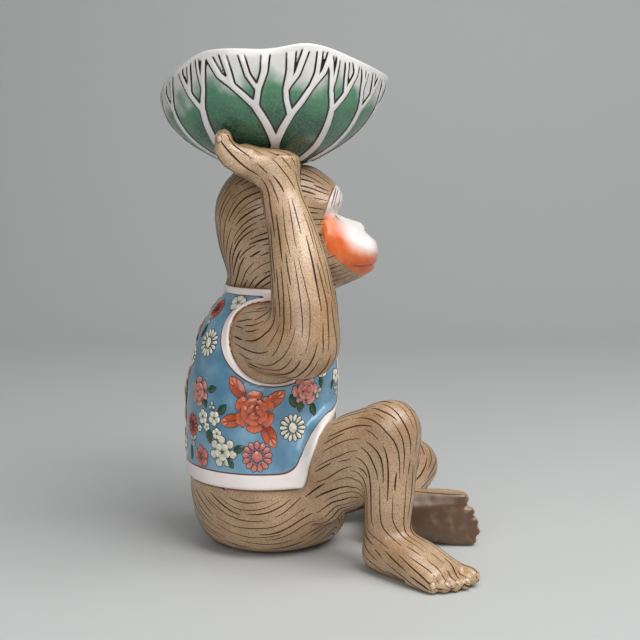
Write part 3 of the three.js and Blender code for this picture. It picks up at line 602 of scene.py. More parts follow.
turn = node_math("DIVIDE", node_math("MULTIPLY", number, 2 * math.pi), given["Petals"])
turn = add_node(whorl, "ShaderNodeCombineXYZ", i2=turn).outputs[0]
turn = add_node(whorl, "FunctionNodeEulerToRotation", i0=turn).outputs[0]
petals = add_node(whorl, "GeometryNodeInstanceOnPoints", Points=count, Instance=petal, Rotation=turn)
end_tree(whorl, petals.outputs[0], given["Glaze"])
whorls_made = {}


def whorl_arrays(sizes):
    """Points, faces and distance from base to tip of a whorl of petals that lies flat. Its sizes are the
    petals, gap, reach, half width, widest, fullness and rise, in millimetres."""
    if sizes not in whorls_made:
        petals, gap, reach, half_width, widest, fullness, rise = sizes
        settings = {
            "Petals": petals, "Gap": gap * MM, "Reach": reach * MM, "Half width": half_width * MM,
            "Widest": widest, "Fullness": fullness, "Rise": rise * MM, "Glaze": enamel.material,
        }
        mesh = made_by(whorl, bpy.data.meshes.new("whorl start"), settings)
        points = read_all(mesh.vertices, "co", 3)
        tip = read_all(mesh.attributes["tip"].data, "value", 1)
        whorls_made[sizes] = points, [list(face.vertices) for face in mesh.polygons], tip
        bpy.data.meshes.remove(mesh)
    return whorls_made[sizes]


class Enamel:
    """Trailed enamel that gathers on one surface: its points, faces and colours."""

    def __init__(self, tree):
        self.tree = tree
        self.points, self.faces, self.colours = [], [], []

    def lay(self, place, normal, turn, height, sizes, base, tip):
        """Lays one whorl of petals on the surface, coloured from its base to its tips."""
        points, faces, share = whorl_arrays(sizes)
        right = Vector((0, 0, 1)).cross(normal).normalized()
        up = normal.cross(right)
        cosine, sine = math.cos(turn), math.sin(turn)
        start = len(self.points)
        for x, y, z in points:
            spot = place + right * (x * cosine - y * sine) + up * (x * sine + y * cosine)
            near, near_normal, _, _ = self.tree.find_nearest(spot)
            self.points.append(near + near_normal * (z + height * MM))
        base_colour, tip_colour = np.array(srgb(base)), np.array(srgb(tip))
        self.colours.append(base_colour + (tip_colour - base_colour) * share)
        self.faces += [[start + i for i in face] for face in faces]

    def outlined(self, place, normal, turn, height, sizes, base, tip, line):
        """A whorl with a wider dark one under it."""
        petals, gap, reach, half_width, widest, fullness, rise = sizes
        under = (petals, gap - line, reach + 2 * line, half_width + line, widest, fullness, LINE_HEIGHT)
        self.lay(place, normal, turn, height, under, LINE_COLOUR, LINE_COLOUR)
        self.lay(place, normal, turn, height + LINE_HEIGHT, sizes, base, tip)

    def finish(self, name):
        """The gathered enamel as one piece."""
        mesh = bpy.data.meshes.new(name)
        mesh.from_pydata(self.points, [], self.faces)
        colours = mesh.attributes.new("enamel", "FLOAT_COLOR", "POINT")
        colours.data.foreach_set("color", np.concatenate(self.colours).astype(np.float32).ravel())
        mesh.shade_smooth()
        mesh.materials.append(enamel.material)
        made = in_scene(name, mesh)
        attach(made, "root")


# A flower's whorls from the outermost inwards: height, petals, gap, reach, half width, widest, fullness,
# rise, turn in degrees, and the colours of base and tip. Sizes are shares of the flower's radius.
ROSE_RED = ("84190a", "f47c4e")
ROSE_VEIN = ("6d150c", "a8301a")
ROSE_STREAK = ("d9562e", "fbd9be")
CORAL = ("a43a3c", "eca89c")
CREAM = ("c9c8ac", "f2efe2")
FLOWERS = {
    "peony": [
        (0.4, 6, 0.36, 0.64, 0.37, 1.7, 0.5, 0.4, 0, *ROSE_RED),
        (0.75, 6, 0.5, 0.4, 0.025, 1.2, 0.6, 0.1, 0, *ROSE_VEIN),
        (0.8, 5, 0.16, 0.5, 0.33, 1.7, 0.5, 0.45, 20, *ROSE_RED),
        (1.2, 5, 0.26, 0.3, 0.025, 1.2, 0.6, 0.1, 20, *ROSE_VEIN),
        (1.25, 3, 0.0, 0.36, 0.24, 1.6, 0.5, 0.4, 50, *ROSE_RED),
    ],
    "pink peony": [
        (0.1, 6, 0.36, 0.62, 0.34, 1.7, 0.5, 0.4, 10, *CORAL),
        (0.45, 5, 0.1, 0.5, 0.31, 1.7, 0.5, 0.45, 45, *CORAL),
        (0.85, 3, 0.0, 0.3, 0.2, 1.6, 0.5, 0.4, 20, *CORAL),
    ],
    "white peony": [
        (0.1, 7, 0.34, 0.66, 0.25, 1.5, 0.55, 0.45, 5, *CREAM),
        (0.5, 5, 0.08, 0.5, 0.25, 1.5, 0.55, 0.5, 40, *CREAM),
    ],
    "daisy": [
        (0.1, 14, 0.4, 0.6, 0.13, 1.5, 0.5, 0.6, 0, "d9d6c0", "f3f0e4"),
        (0.3, 1, -0.4, 0.8, 0.3, 1.0, 0.6, 0.8, 0, "f0edd8", "e6e3c8"),
    ],
    "red daisy": [
        (0.1, 13, 0.36, 0.64, 0.14, 1.5, 0.5, 0.6, 0, "8f2a1c", "dd6238"),
        (0.3, 1, -0.36, 0.72, 0.28, 1.0, 0.6, 0.8, 0, "4a1c10", "8a3a1e"),
    ],
    "chrysanthemum": [
        (0.1, 13, 0.4, 0.6, 0.16, 1.6, 0.5, 0.5, 0, "b5524e", "e0958a"),
        (0.3, 1, -0.38, 0.76, 0.34, 1.0, 0.6, 0.7, 0, "c76560", "db8a80"),
    ],
    "blossom": [(0.1, 5, 0.12, 0.88, 0.42, 1.6, 0.55, 0.6, 0, "dcd9c6", "f4f1e6")],
    "pink blossom": [(0.1, 5, 0.12, 0.88, 0.42, 1.6, 0.55, 0.5, 0, "a84446", "dd8c84")],
    "leaf": [
        (0.1, 1, -1, 2, 0.52, 1.0, 0.85, 0.5, 0, "12301f", "2c5e3e"),
        (0.55, 1, -0.9, 1.5, 0.03, 1.0, 0.85, 0.1, 0, "6f9a7c", "93b59a"),
    ],
    "red leaf": [
        (0.1, 1, -1, 2, 0.52, 0.9, 0.7, 0.5, 0, "96210e", "ee7c4a"),
        (0.68, 1, -0.95, 1.7, 0.05, 1.0, 0.85, 0.1, 0, *ROSE_VEIN),
        *[(0.55, 1, -0.1, 0.7, 0.05, 1.0, 0.85, 0.12, turn, *ROSE_VEIN) for turn in (32, -32)],
        *[(0.55, 1, 0.05, 0.75, 0.045, 1.0, 0.85, 0.1, turn, *ROSE_STREAK) for turn in (15, -15)],
    ],
    "bud": [(0.1, 3, 0.0, 1, 0.35, 1.3, 0.6, 0.5, 0, "8fa096", "d8dccd")],
}
OUTLINE = {"peony": 0.4, "red leaf": 0.45}
USUAL_OUTLINE = 0.5
THINNEST_OUTLINED = 0.06
# Where they are: kind, degrees round from the front, height, radius, and degrees that they are turned.
SIDE_FLOWERS = [
    ("red leaf", 104, 115.5, 8.6, 38), ("red leaf", 79.5, 108.5, 8, -52), ("red leaf", 107.5, 94, 8.2, 102),
    ("red leaf", 83.5, 85, 8.4, 205), ("peony", 92.5, 100.5, 13.5, 0), ("daisy", 68.5, 89.4, 9, 10),
    ("daisy", 136, 141, 9.5, 20), ("chrysanthemum", 91, 71.7, 10, 0), ("leaf", 102.5, 76, 4.4, -60),
    ("leaf", 108.5, 66.8, 4.2, 220), ("white peony", 113.5, 73.5, 10.5, 0),
    ("pink blossom", 133, 67.6, 7.5, 10),
    ("leaf", 124, 112.6, 4, -70), ("leaf", 130, 103.6, 4, 200), ("pink peony", 137.5, 109.5, 10, 0),
    ("leaf", 68, 106.5, 4.6, 20), ("leaf", 62.5, 103.8, 5, 170), ("leaf", 53, 100, 4.6, 190),
    ("bud", 48.5, 110, 4, -60), ("pink peony", 58.5, 112.6, 10.5, 20), ("blossom", 114, 167, 6.5, 0),
    ("blossom", 131.5, 94, 5, 10), ("blossom", 120.5, 94.4, 5, 40), ("blossom", 42.5, 124.6, 6, 0),
    ("leaf", 44.5, 116.5, 4, 0), ("blossom", 24, 117.5, 5, 30), ("leaf", 30, 113, 3.6, 140),
    ("bud", 24, 108.5, 3.6, 180), ("blossom", 118, 84.6, 3.8, 0), ("blossom", 127, 88, 2.8, 30),
    ("blossom", 134.5, 86, 2.4, 0), ("leaf", 114.5, 100.4, 4.6, -40), ("leaf", 124.5, 82.6, 5, 10),
    ("bud", 123, 102, 3, 0), ("leaf", 152.5, 147, 5.4, -20), ("leaf", 147.5, 67.6, 5.2, 0),
    ("bud", 149.5, 155, 4, 200), ("bud", 143.5, 77, 4.4, 190), ("red daisy", 146.5, 161.6, 7.4, 0),
    ("red daisy", 145.5, 86.4, 7.6, 0), ("daisy", 163, 129.5, 7.5, 10),
]
BACK_FLOWERS = [
    ("red leaf", 191, 117, 8, 42), ("red leaf", 169, 117, 8, -42), ("red leaf", 191.5, 91, 8, 138),
    ("red leaf", 168.5, 91, 8, -138), ("peony", 180, 104, 12.5, 0), ("pink peony", 180, 146, 9, 0),
    ("leaf", 170, 141, 4.4, -120), ("leaf", 190, 141, 4.4, 120), ("chrysanthemum", 180, 71, 9.5, 0),
    ("blossom", 163, 72, 5, 0), ("blossom", 197, 72, 5, 0), ("blossom", 180, 163, 5, 0),
]
flowers = Enamel(cloth_tree)
far_side = [(kind, -angle, height, size, -turn) for kind, angle, height, size, turn in SIDE_FLOWERS]
for kind, angle, height, size, turn in SIDE_FLOWERS + far_side + BACK_FLOWERS:
    place, normal, _, _ = seen_from_outside(cloth_tree, math.radians(angle), height)
    if place is None:
        continue
    for lift, petals, gap, reach, half_width, widest, fullness, rise, twist, *colours in FLOWERS[kind]:
        sizes = (petals, gap * size, reach * size, half_width * size, widest, fullness, rise)
        laid = (place, normal, math.radians(turn + twist), lift, sizes, *colours)
        if half_width > THINNEST_OUTLINED:
            flowers.outlined(*laid, OUTLINE.get(kind, USUAL_OUTLINE))
        else:
            flowers.lay(*laid)
flowers.finish("waistcoat_flowers")

# Head, ears and face: a hollow skull with a pressed mask and two pressed ears, luted on and sponged over. The
# mask is glazed white with an orange blush, and the brown fur glaze ends along its edge.
HEAD = ["head", "face", "right_ear", "left_ear"]
HEAD_PLUG = (0, 5, 172.4, 178, 24)
PRESSED = {"face": (0.12, 6), "right_ear": (0.12, 4), "left_ear": (0.12, 4)}
# The middle of the face from the throat up to the brow, seen from the side: height, and how far forward.
PROFILE = [
    (173, 46.5), (175.8, 53), (180.6, 64.5), (184.6, 70.5), (187.5, 72.3), (189.3, 71.4), (191, 73),
    (198.7, 73.9), (204.7, 72.2), (209.3, 66.4), (212, 66), (215, 64.9), (217, 62.6), (220.7, 51.6),
    (222.7, 47.8), (228.6, 49.6), (235.3, 50.3), (240.6, 48.3), (244, 45.5),
]
# How wide the face follows its profile in its general form, and how narrowly at its nose and lips. The
# general form is the mean over so many levels, read within so many millimetres of the face's middle.
BROAD = 20
NARROW = 9
LEVELS = 13
MIDDLE = 5
# Where the profile takes hold: the levels that are read, and where it fades, forwards and by height.
FACE_LEVELS = (174, 245)
FACE_FRONT = (32, 46)
FACE_BOTTOM = (172, 176)
FACE_TOP = (244, 252)
EYE_PLACE = (10.8, 221.5)
EYE_HOLLOW = 2.2
EYE_RADIUS = 6.5
EYE_FRONT = 30
# The edge of the mask seen from the side, and the edge of the blush within it: height, and how far forward.
MASK_EDGE = [
    (172, 75), (178, 68), (181.5, 63.5), (184.7, 56.7), (191, 49.9), (195.5, 43.4), (200.5, 38.7),
    (209.4, 35.6), (215, 34.4), (219.5, 35), (224.7, 37.3), (232.4, 39.5), (239, 42.8),
    (243.5, 45.2), (248, 48),
]
MASK_TOP = 245
BLUSH_EDGE = [
    (196, 78), (197.6, 68), (199.2, 62), (201.4, 57), (205.3, 54), (211.6, 51), (217.3, 47), (224, 43.5),
]
# Where the blush fades: across its edge, and by height.
BLUSH_FADE = (-5, 6)
BLUSH_TOP = (220, 227)
head = Skin("head", HEAD, [HEAD_PLUG], [], SKIN_GRAIN, SPONGE_PASSES, PRESSED)
x, y, z = head.points.T / MM
levels = np.arange(*FACE_LEVELS)
middle = np.abs(x) < MIDDLE
reached = np.array([(-y[middle & (np.abs(z - level) < 1)]).max() for level in levels])
missing = np.interp(levels, *zip(*PROFILE)) - reached
general = np.convolve(np.pad(missing, LEVELS // 2, mode="edge"), np.ones(LEVELS) / LEVELS, "valid")
forward = np.interp(z, levels, general) * np.exp(-((x / BROAD) ** 2))
forward += np.interp(z, levels, missing - general) * np.exp(-((x / NARROW) ** 2))
forward *= ease(*FACE_FRONT, -y) * ease(*FACE_BOTTOM, z) * (1 - ease(*FACE_TOP, z))
eye_gap = np.hypot(np.abs(x) - EYE_PLACE[0], z - EYE_PLACE[1])
forward -= EYE_HOLLOW * np.exp(-((eye_gap / EYE_RADIUS) ** 2)) * (y < -EYE_FRONT)
head.points[:, 1] -= forward * MM
y = head.points[:, 1] / MM
into_mask = np.minimum(-y - np.interp(z, *zip(*MASK_EDGE)), MASK_TOP - z)
face = HEAD.index("face")
head.owner = np.where(into_mask > 0, face, np.where(head.owner == face, 0, head.owner))
head.settle()
from_side = np.stack([z, -y], axis=1)
stops = np.array(BLUSH_EDGE)
into_white = np.min([nearest_on(*ends, from_side)[1] for ends in zip(stops, stops[1:])], axis=0)
into_white *= np.where(-y > np.interp(z, *zip(*BLUSH_EDGE)), 1, -1)
blush = (1 - ease(*BLUSH_FADE, into_white)) * (1 - ease(*BLUSH_TOP, z))
face_glaze = Glaze("blushed face glaze", 0.35, 0.1)
wash = node_math("ADD", face_glaze.attribute("blush"), face_glaze.uneven(300, 0.25))
wash = face_glaze.ramp(wash, 0.05, 1.0, "LINEAR")
white = face_glaze.clouds(45, 0.3, 0.7, "efe8e3", "e6dcd5")
orange = face_glaze.clouds(90, 0.35, 0.65, "da6026", "e27634")
past_fur = face_glaze.ramp(face_glaze.attribute("into_mask"), 0.9, 1.5)
blushed = face_glaze.mix(wash, white, orange)
face_glaze.coat(face_glaze.mix(past_fur, fur_colour(face_glaze), blushed), 180, 0.06)
for casting in HEAD:
    glaze, slot = (face_glaze, "face_glaze") if casting == "face" else (fur_glaze, "fur_glaze")
    head.piece(casting, glaze, {"blush": blush, "into_mask": into_mask})

# Eyes and nostrils: dots of enamel on the mask, laid one on the other and fired with the flowers. The eyes
# are painted as such figures have them, with a brown rim, a white, an amber iris and a black pupil.
EYE_TURN = 78
NOSTRIL_PLACE = (3.2, 212)
NOSTRIL_TURN = 60
DOT_RISE = 0.25
# From the lowest dot up: height, half length, half width, fullness of the dot's outline, and its colour.
EYE_DOTS = [
    (0.05, 5.6, 3.9, 0.8, "4a2a1c"), (0.2, 4.9, 3.2, 0.75, "f3efe8"), (0.4, 2.5, 2.5, 0.5, "8a4d1c"),
    (0.55, 1.5, 1.5, 0.5, "16100d"),
]
NOSTRIL_DOTS = [(0.05, 1.6, 1.0, 0.6, "a8664c"), (0.15, 1.0, 0.6, 0.6, "6a3826")]
features = Enamel(head.tree)
for side in (-1, 1):
    for spot, dots, turn in ((EYE_PLACE, EYE_DOTS, EYE_TURN), (NOSTRIL_PLACE, NOSTRIL_DOTS, NOSTRIL_TURN)):
        start = Vector((side * spot[0], -200, spot[1])) * MM
        place, normal, _, _ = head.tree.ray_cast(start, Vector((0, 1, 0)))
        for lift, half_length, half_width, fullness, colour in dots:
            sizes = (1, -half_length, 2 * half_length, half_width, 1.0, fullness, DOT_RISE)
            features.lay(place, normal, math.radians(-side * turn), lift, sizes, colour, colour)
features.finish("eyes_and_nostrils")

# Leaf bowl: a lotus leaf pressed over a hump, with a waved rim, luted on the crown and on both palms. Raised
# veins branch up its outside between green fields, with a dark line along each. The inside is plain, and its
# white glaze is a little green where it pools.
BOWL_FOOT = 255.3
BOWL_OUTSIDE = 0.12
VEIN_PROUD = 0.7
VEIN_STEPS = 8
RIM_BAND = 4.5
RIM_SLICES = 90
# A vein's branches: degrees round the bowl and height above the foot along it, and its half widths.
MAIN_VEIN = [
    ([(189, 3), (188.7, 8), (188.3, 13)], 3.6, 3.0),
    ([(188.3, 13), (182.5, 25), (176.5, 36)], 2.7, 2.5),
    ([(176.5, 36), (170.5, 43), (165.5, 48.5)], 2.2, 2.0),
    ([(165.5, 48.5), (159, 55), (153, 68)], 1.8, 2.4),
    ([(165.5, 48.5), (164, 56), (160.5, 70)], 1.6, 2.2),
    ([(176.5, 36), (178, 46)], 2.0, 1.9),
    ([(178, 46), (173, 55), (169, 72)], 1.5, 1.8),
    ([(178, 46), (181, 57), (182, 72)], 1.7, 2.6),
    ([(188.3, 13), (191.5, 23), (195, 31)], 2.7, 2.5),
    ([(195, 31), (200, 39), (204, 47)], 2.2, 2.0),
    ([(204, 47), (207, 56), (208.5, 74)], 1.6, 1.8),
    ([(204, 47), (210.5, 57), (215, 72)], 1.7, 2.0),
    ([(195, 31), (192.3, 40), (191.6, 46.5)], 2.0, 1.8),
    ([(191.6, 46.5), (193.5, 57), (194, 72)], 1.8, 2.8),
    ([(191.6, 46.5), (197, 56), (202, 74)], 1.6, 2.1),
]
SIDE_VEIN = [
    ([(-3, 4), (-3, 12), (-1, 20), (1, 34)], 3.6, 2.4),
    ([(1, 34), (-5, 44), (-10, 56), (-12, 72)], 2.1, 1.8),
    ([(1, 34), (4, 46), (6.5, 72)], 1.9, 1.7),
    ([(-5, 44), (-4, 54), (-4, 72)], 1.5, 1.5),
    ([(4, 46), (2.5, 56), (1, 72)], 1.2, 1.3),
    ([(-10, 56), (-8.5, 64), (-8, 72)], 1.0, 1.1),
]
# Where the side veins are, in degrees, and which way each is turned.
SIDE_VEINS = [
    (145, 1), (220, -1), (121, 1), (241, -1), (100, 1), (261, -1), (284, 1), (308, -1), (333, 1), (358, -1),
    (24, 1), (50, -1), (76, 1),
]
form = bmesh.new()
form.from_mesh(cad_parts["leaf_bowl"].data)
bmesh.ops.remove_doubles(form, verts=form.verts, dist=WELD)
bmesh.ops.join_triangles(form, faces=form.faces, angle_face_threshold=math.pi, angle_shape_threshold=math.pi)
bowl = in_scene("leaf_bowl_glazed", bpy.data.meshes.new("leaf_bowl_glazed"))
form.to_mesh(bowl.data)
form.free()
rounder = bowl.modifiers.new("rounder", "SUBSURF")
rounder.levels = 3
rounder.render_levels = 3
fine_mesh = plain_mesh(bowl)
bowl.modifiers.clear()
bowl.data = fine_mesh
points = read_all(fine_mesh.vertices, "co", 3)
normals = read_all(fine_mesh.vertices, "normal", 3)
bowl_tree = BVHTree.FromPolygons(points.tolist(), [list(face.vertices) for face in fine_mesh.polygons])


def divided(line, count):
    """So many places spread evenly along a row of places, as one array for each of their numbers."""
    stops = np.linspace(0, len(line) - 1, count)
    return [np.interp(stops, range(len(line)), values) for values in zip(*line)]


def on_bowl(degrees, height):
    """The place on the bowl's outside at that angle and height above its foot, or none above the rim."""
    turn = math.radians(degrees)
    outwards = Vector((math.cos(turn), math.sin(turn), 0))
    middle = Vector((0, 0, (BOWL_FOOT + height) * MM))
    return bowl_tree.ray_cast(middle + outwards * BOWL_OUTSIDE, -outwards, BOWL_OUTSIDE)[0]


branches = list(MAIN_VEIN)
for middle, sense in SIDE_VEINS:
    for branch, start_half, end_half in SIDE_VEIN:
        branches.append(([(middle + sense * turn, height) for turn, height in branch], start_half, end_half))
vein = np.full(len(points), FAR_OFF)
for branch, start_half, end_half in branches:
    hits = [on_bowl(*stop) for stop in zip(*divided(branch, VEIN_STEPS * (len(branch) - 1) + 1))]
    places = [np.array(place) for place in hits if place is not None]
    for i, (start, end) in enumerate(zip(places, places[1:])):
        _, away, share = nearest_on(start, end, points)
        half = start_half + (end_half - start_half) * (i + share) / (len(places) - 1)
        vein = np.minimum(vein, away / MM - half)
turns = np.arctan2(points[:, 1], points[:, 0])
slices = np.floor((turns + math.pi) / (2 * math.pi) * RIM_SLICES).astype(int) % RIM_SLICES
rim_heights = np.zeros(RIM_SLICES)
np.maximum.at(rim_heights, slices, points[:, 2] / MM)
slice_middles = (np.arange(RIM_SLICES) + 0.5) / RIM_SLICES * 2 * math.pi - math.pi
below_rim = np.interp(turns, slice_middles, rim_heights, period=2 * math.pi) - points[:, 2] / MM
away_from_axis = np.maximum(np.linalg.norm(points[:, :2], axis=1), 1e-9)
outward = (normals[:, :2] * points[:, :2]).sum(axis=1) / away_from_axis
outside = ease(-0.1, 0.25, np.maximum(outward, -normals[:, 2]))
rim_fade = ease(RIM_BAND - 1, RIM_BAND + 5, below_rim)
points += normals * (VEIN_PROUD * MM * ease(0.5, -0.9, vein) * rim_fade * outside)[:, None]
fine_mesh.vertices.foreach_set("co", points.ravel())
fine_mesh.shade_smooth()
store(fine_mesh, "vein", vein)
store(fine_mesh, "below_rim", np.where(outside > 0.5, below_rim, 0))
store(fine_mesh, "pooled", np.where(outside > 0.5, 0, below_rim))

leaf_glaze = Glaze("leaf bowl glaze", 0.22, 0.35)
rim_gap = leaf_glaze.attribute("below_rim")
depth = node_math("ADD", rim_gap, leaf_glaze.uneven(50, 38))
grain = node_math("MULTIPLY", leaf_glaze.ramp(leaf_glaze.noise(620), 0.38, 0.68), 0.4)
leaf_green = leaf_glaze.mix(leaf_glaze.ramp(depth, 24, 52), "4c8462", "224b36")
leaf_green = leaf_glaze.mix(grain, leaf_green, "649078")
field = leaf_glaze.mix(leaf_glaze.ramp(depth, 12, 28), "dad9d5", leaf_green)
white = leaf_glaze.clouds(35, 0.3, 0.7, "ece9e6", "e0dcd8")
vein_gap = leaf_glaze.attribute("vein")
painted = leaf_glaze.mix(leaf_glaze.ramp(vein_gap, -0.15, 0.15, "LINEAR"), white, field)
off_line = node_math("ABSOLUTE", node_math("SUBTRACT", vein_gap, 0.25))
painted = leaf_glaze.mix(leaf_glaze.ramp(off_line, 0.8, 0.45), painted, "231d1b")
pooled = leaf_glaze.mix(leaf_glaze.ramp(leaf_glaze.attribute("pooled"), 3, 50), white, "bcc3bc")
ragged = node_math("ADD", rim_gap, leaf_glaze.uneven(120, 7))
below_band = leaf_glaze.ramp(ragged, RIM_BAND - 1, RIM_BAND + 1)
leaf_glaze.coat(leaf_glaze.mix(below_band, pooled, painted), 140, 0.06)
fine_mesh.materials.clear()
fine_mesh.materials.append(leaf_glaze.material)
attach(bowl, "root")
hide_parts("leaf_bowl")

# Fur lines: brown slip brushed by hand on the bare clay, in long tapered strokes that lie as the coat lies.
# They run from the face over the head, from the seat into the thighs, and along every limb to its end.
BRUSH_STEP = 3 * MM
BRUSH_LIFT = 0.02 * MM
BRUSH_HALF_WIDTH = 0.62 * MM
BRUSH_SIDES = 6
BRUSH_FLAT = 0.32
BRUSH_BEND = 0.08
BRUSH_WIDTHS = (0.5, 1.15)
BRUSH_TIP = 0.25
SHORTEST = 20 * MM
LONGEST = 70 * MM
# Strokes start a gap apart, keep a share of it along the way, and are left out below a share of the shortest.
FIGURE_GAP = 4.2 * MM
HEAD_GAP = 3.4 * MM
CROWDED = 0.55
TOO_SHORT = 0.6
FIGURE_TRIES = 40000
HEAD_TRIES = 24000
# How the fur lies: for each casting, lines that it follows, each a row of places in millimetres.
RIGHT_ARM = [
    (-44, 4, 145), (-60, -8, 144), (-74, -22, 142), (-79, -27, 152), (-72, -22, 180), (-64, -16, 210),
    (-57, -10, 240),
]
RIGHT_HAND = [(-57, -10, 240), (-54, 0, 252), (-52, 12, 262), (-52, 20, 270), (-52, 25, 279)]
RIGHT_LEG = [(-26, -20, 42), (-48, -48, 64), (-66, -70, 86), (-75, -82, 88), (-74, -80, 70), (-72, -79, 34)]
RIGHT_FOOT = [(-71, -78, 34), (-84, -91, 24), (-98, -107, 14), (-112, -121, 6)]
LEFT_LEG = [(24, -22, 38), (48, -62, 37), (68, -94, 35), (72, -102, 32), (50, -98, 28), (10, -86, 22)]
LEFT_FOOT = [(4, -80, 20), (-6, -100, 20), (-10, -122, 19), (-12, -142, 18)]
SIDE_HEAD = [
    [(-42, -38, 225), (-47, -10, 228), (-46, 15, 218), (-40, 32, 200), (-33, 38, 180)],
    [(-38, -36, 205), (-44, -14, 206), (-44, 8, 200), (-37, 24, 187), (-32, 28, 175)],
    [(-26, -48, 192), (-32, -34, 184), (-33, -20, 175)],
    [(-24, -42, 243), (-30, -12, 248), (-30, 18, 240), (-28, 36, 220), (-24, 42, 195), (-22, 42, 178)],
]
SEAT = [
    [(-18, 62, 58), (-44, 49, 38), (-57, 24, 22), (-59, -4, 23), (-52, -32, 42), (-48, -50, 64)],
    [(-20, 54, 20), (-42, 38, 13), (-50, 15, 10), (-48, -10, 12), (-42, -32, 24)],
    [(-10, 64, 50), (-26, 60, 32), (-36, 50, 15), (-42, 38, 6)],
]


def mirrored(line):
    """The same line on the other side of the figure."""
    return [(-x, y, z) for x, y, z in line]


FUR_LIES = {
    "body": SEAT + [
        [(18, 62, 46), (46, 47, 33), (58, 20, 24), (58, -8, 22), (52, -36, 26), (58, -66, 32)],
        mirrored(SEAT[1]),
        mirrored(SEAT[2]),
        [(0, 66, 60), (0, 65, 40), (0, 56, 14)],
        [(0, -42, 165), (0, -47, 120), (0, -48, 85), (0, -52, 55), (0, -44, 18)],
    ],
    "right_arm": [RIGHT_ARM], "right_hand": [RIGHT_HAND],
    "right_leg": [RIGHT_LEG], "right_foot": [RIGHT_FOOT],
    "left_arm": [mirrored(RIGHT_ARM)], "left_hand": [mirrored(RIGHT_HAND)],
    "left_leg": [LEFT_LEG], "left_foot": [LEFT_FOOT],
    "head": SIDE_HEAD + [mirrored(line) for line in SIDE_HEAD] + [
        [(0, -45, 246), (0, -15, 255), (0, 15, 250), (0, 38, 228), (0, 46, 205), (0, 44, 178)],
        [(0, -58, 180), (0, -40, 176), (0, -20, 174)],
    ],
}
for name in ("right_ear", "left_ear", "face"):
    FUR_LIES[name] = FUR_LIES["head"]


def fur_direction(skin):
    """Which way the fur lies at the middle of each face of a skin."""
    lie = np.zeros_like(skin.points)
    for number, casting in enumerate(skin.castings):
        mine = np.flatnonzero(skin.owner == number)
        for line in FUR_LIES[casting]:
            for start, end in zip(line, line[1:]):
                start, end = np.array(start) * MM, np.array(end) * MM
                for share in (0.1, 0.3, 0.5, 0.7, 0.9):
                    away = skin.points[mine] - (start + (end - start) * share)
                    weight = 1 / ((away**2).sum(axis=1) + (4 * MM) ** 2) ** 2.5
                    lie[mine] += weight[:, None] * (end - start)

    def along_skin(directions):
        return unit(directions - (directions * skin.normals).sum(axis=1)[:, None] * skin.normals)

    for _ in range(4):
        lie = spread_evenly(along_skin(lie), skin.edges, 0.5, 12)
    return unit(along_skin(lie)[skin.quads].mean(axis=1))


def brushed(skin, closed, bare, gap, tries, seed):
    """Strokes on a skin that follow the fur, a gap apart: for each its casting, places and normals. No stroke
    starts on a closed face, and none runs on to a bare one."""
    lie = fur_direction(skin).tolist()
    chance = np.random.default_rng(seed)
    taken = {}
    strokes = []
    steps = [(i, j, k) for i in (-1, 0, 1) for j in (-1, 0, 1) for k in (-1, 0, 1)]

    def cell(place):
        return tuple(math.floor(part / gap) for part in place)

    def crowded(place, room):
        i, j, k = cell(place)
        near = (other for di, dj, dk in steps for other in taken.get((i + di, j + dj, k + dk), ()))
        return any((other - place).length < room for other in near)

    for quad in chance.integers(0, len(skin.quads), tries).tolist():
        length = chance.uniform(SHORTEST, LONGEST)
        bend = chance.uniform(-BRUSH_BEND, BRUSH_BEND)
        start, normal, _, _ = skin.tree.find_nearest(skin.middles[quad].tolist())
        if closed[quad] or crowded(start, gap):
            continue
        halves = []
        for sense in (1, -1):
            half = []
            here, at, upright = start, quad, normal
            for step in range(int(length / 2 / BRUSH_STEP)):
                ahead = Vector(lie[at]) * sense
                ahead += upright.cross(ahead) * (bend * sense)
                here, upright, at, _ = skin.tree.find_nearest(here + ahead * BRUSH_STEP)
                if bare[at] or crowded(here, CROWDED * gap):
                    break
                half.append((here, upright))
            halves.append(half)
        stroke = halves[1][::-1] + [(start, normal)] + halves[0]
        if len(stroke) * BRUSH_STEP < SHORTEST * TOO_SHORT:
            continue
        strokes.append((skin.castings[skin.quad_owner[quad]], stroke))
        for place, _ in stroke:
            taken.setdefault(cell(place), []).append(place)
    return strokes


fur_line, given = new_tree(
    "brushed fur line", {"Paths": "Geometry", "Sides": "Int", "Thickness": "Float", "Slip": "Material"}
)
path = add_node(fur_line, "GeometryNodeMeshToCurve", Mesh=given["Paths"]).outputs[0]
named = "GeometryNodeInputNamedAttribute"
upright = add_node(fur_line, named, {"data_type": "FLOAT_VECTOR"}, Name="upright").outputs[0]
laid = add_node(fur_line, "GeometryNodeSetCurveNormal", {"mode": "FREE"}, Curve=path, Normal=upright)
half_width = add_node(fur_line, named, Name="half_width").outputs[0]
ring = add_node(fur_line, "GeometryNodeCurvePrimitiveCircle", Resolution=given["Sides"], Radius=1.0)
flat = add_node(fur_line, "ShaderNodeCombineXYZ", i0=given["Thickness"], i1=1.0, i2=1.0).outputs[0]
section = add_node(fur_line, "GeometryNodeTransform", i0=ring.outputs[0], Scale=flat).outputs[0]
swept = add_node(
    fur_line, "GeometryNodeCurveToMesh", i0=laid.outputs[0], i1=section, Scale=half_width, Fill_Caps=True
).outputs[0]
end_tree(fur_line, add_node(fur_line, "GeometryNodeSetShadeSmooth", i0=swept).outputs[0], given["Slip"])

brown_slip = Glaze("brushed brown slip", 0.6, 0.0, 0.15)
brown_slip.coat(brown_slip.clouds(60, 0.35, 0.65, "352216", "573b26"))


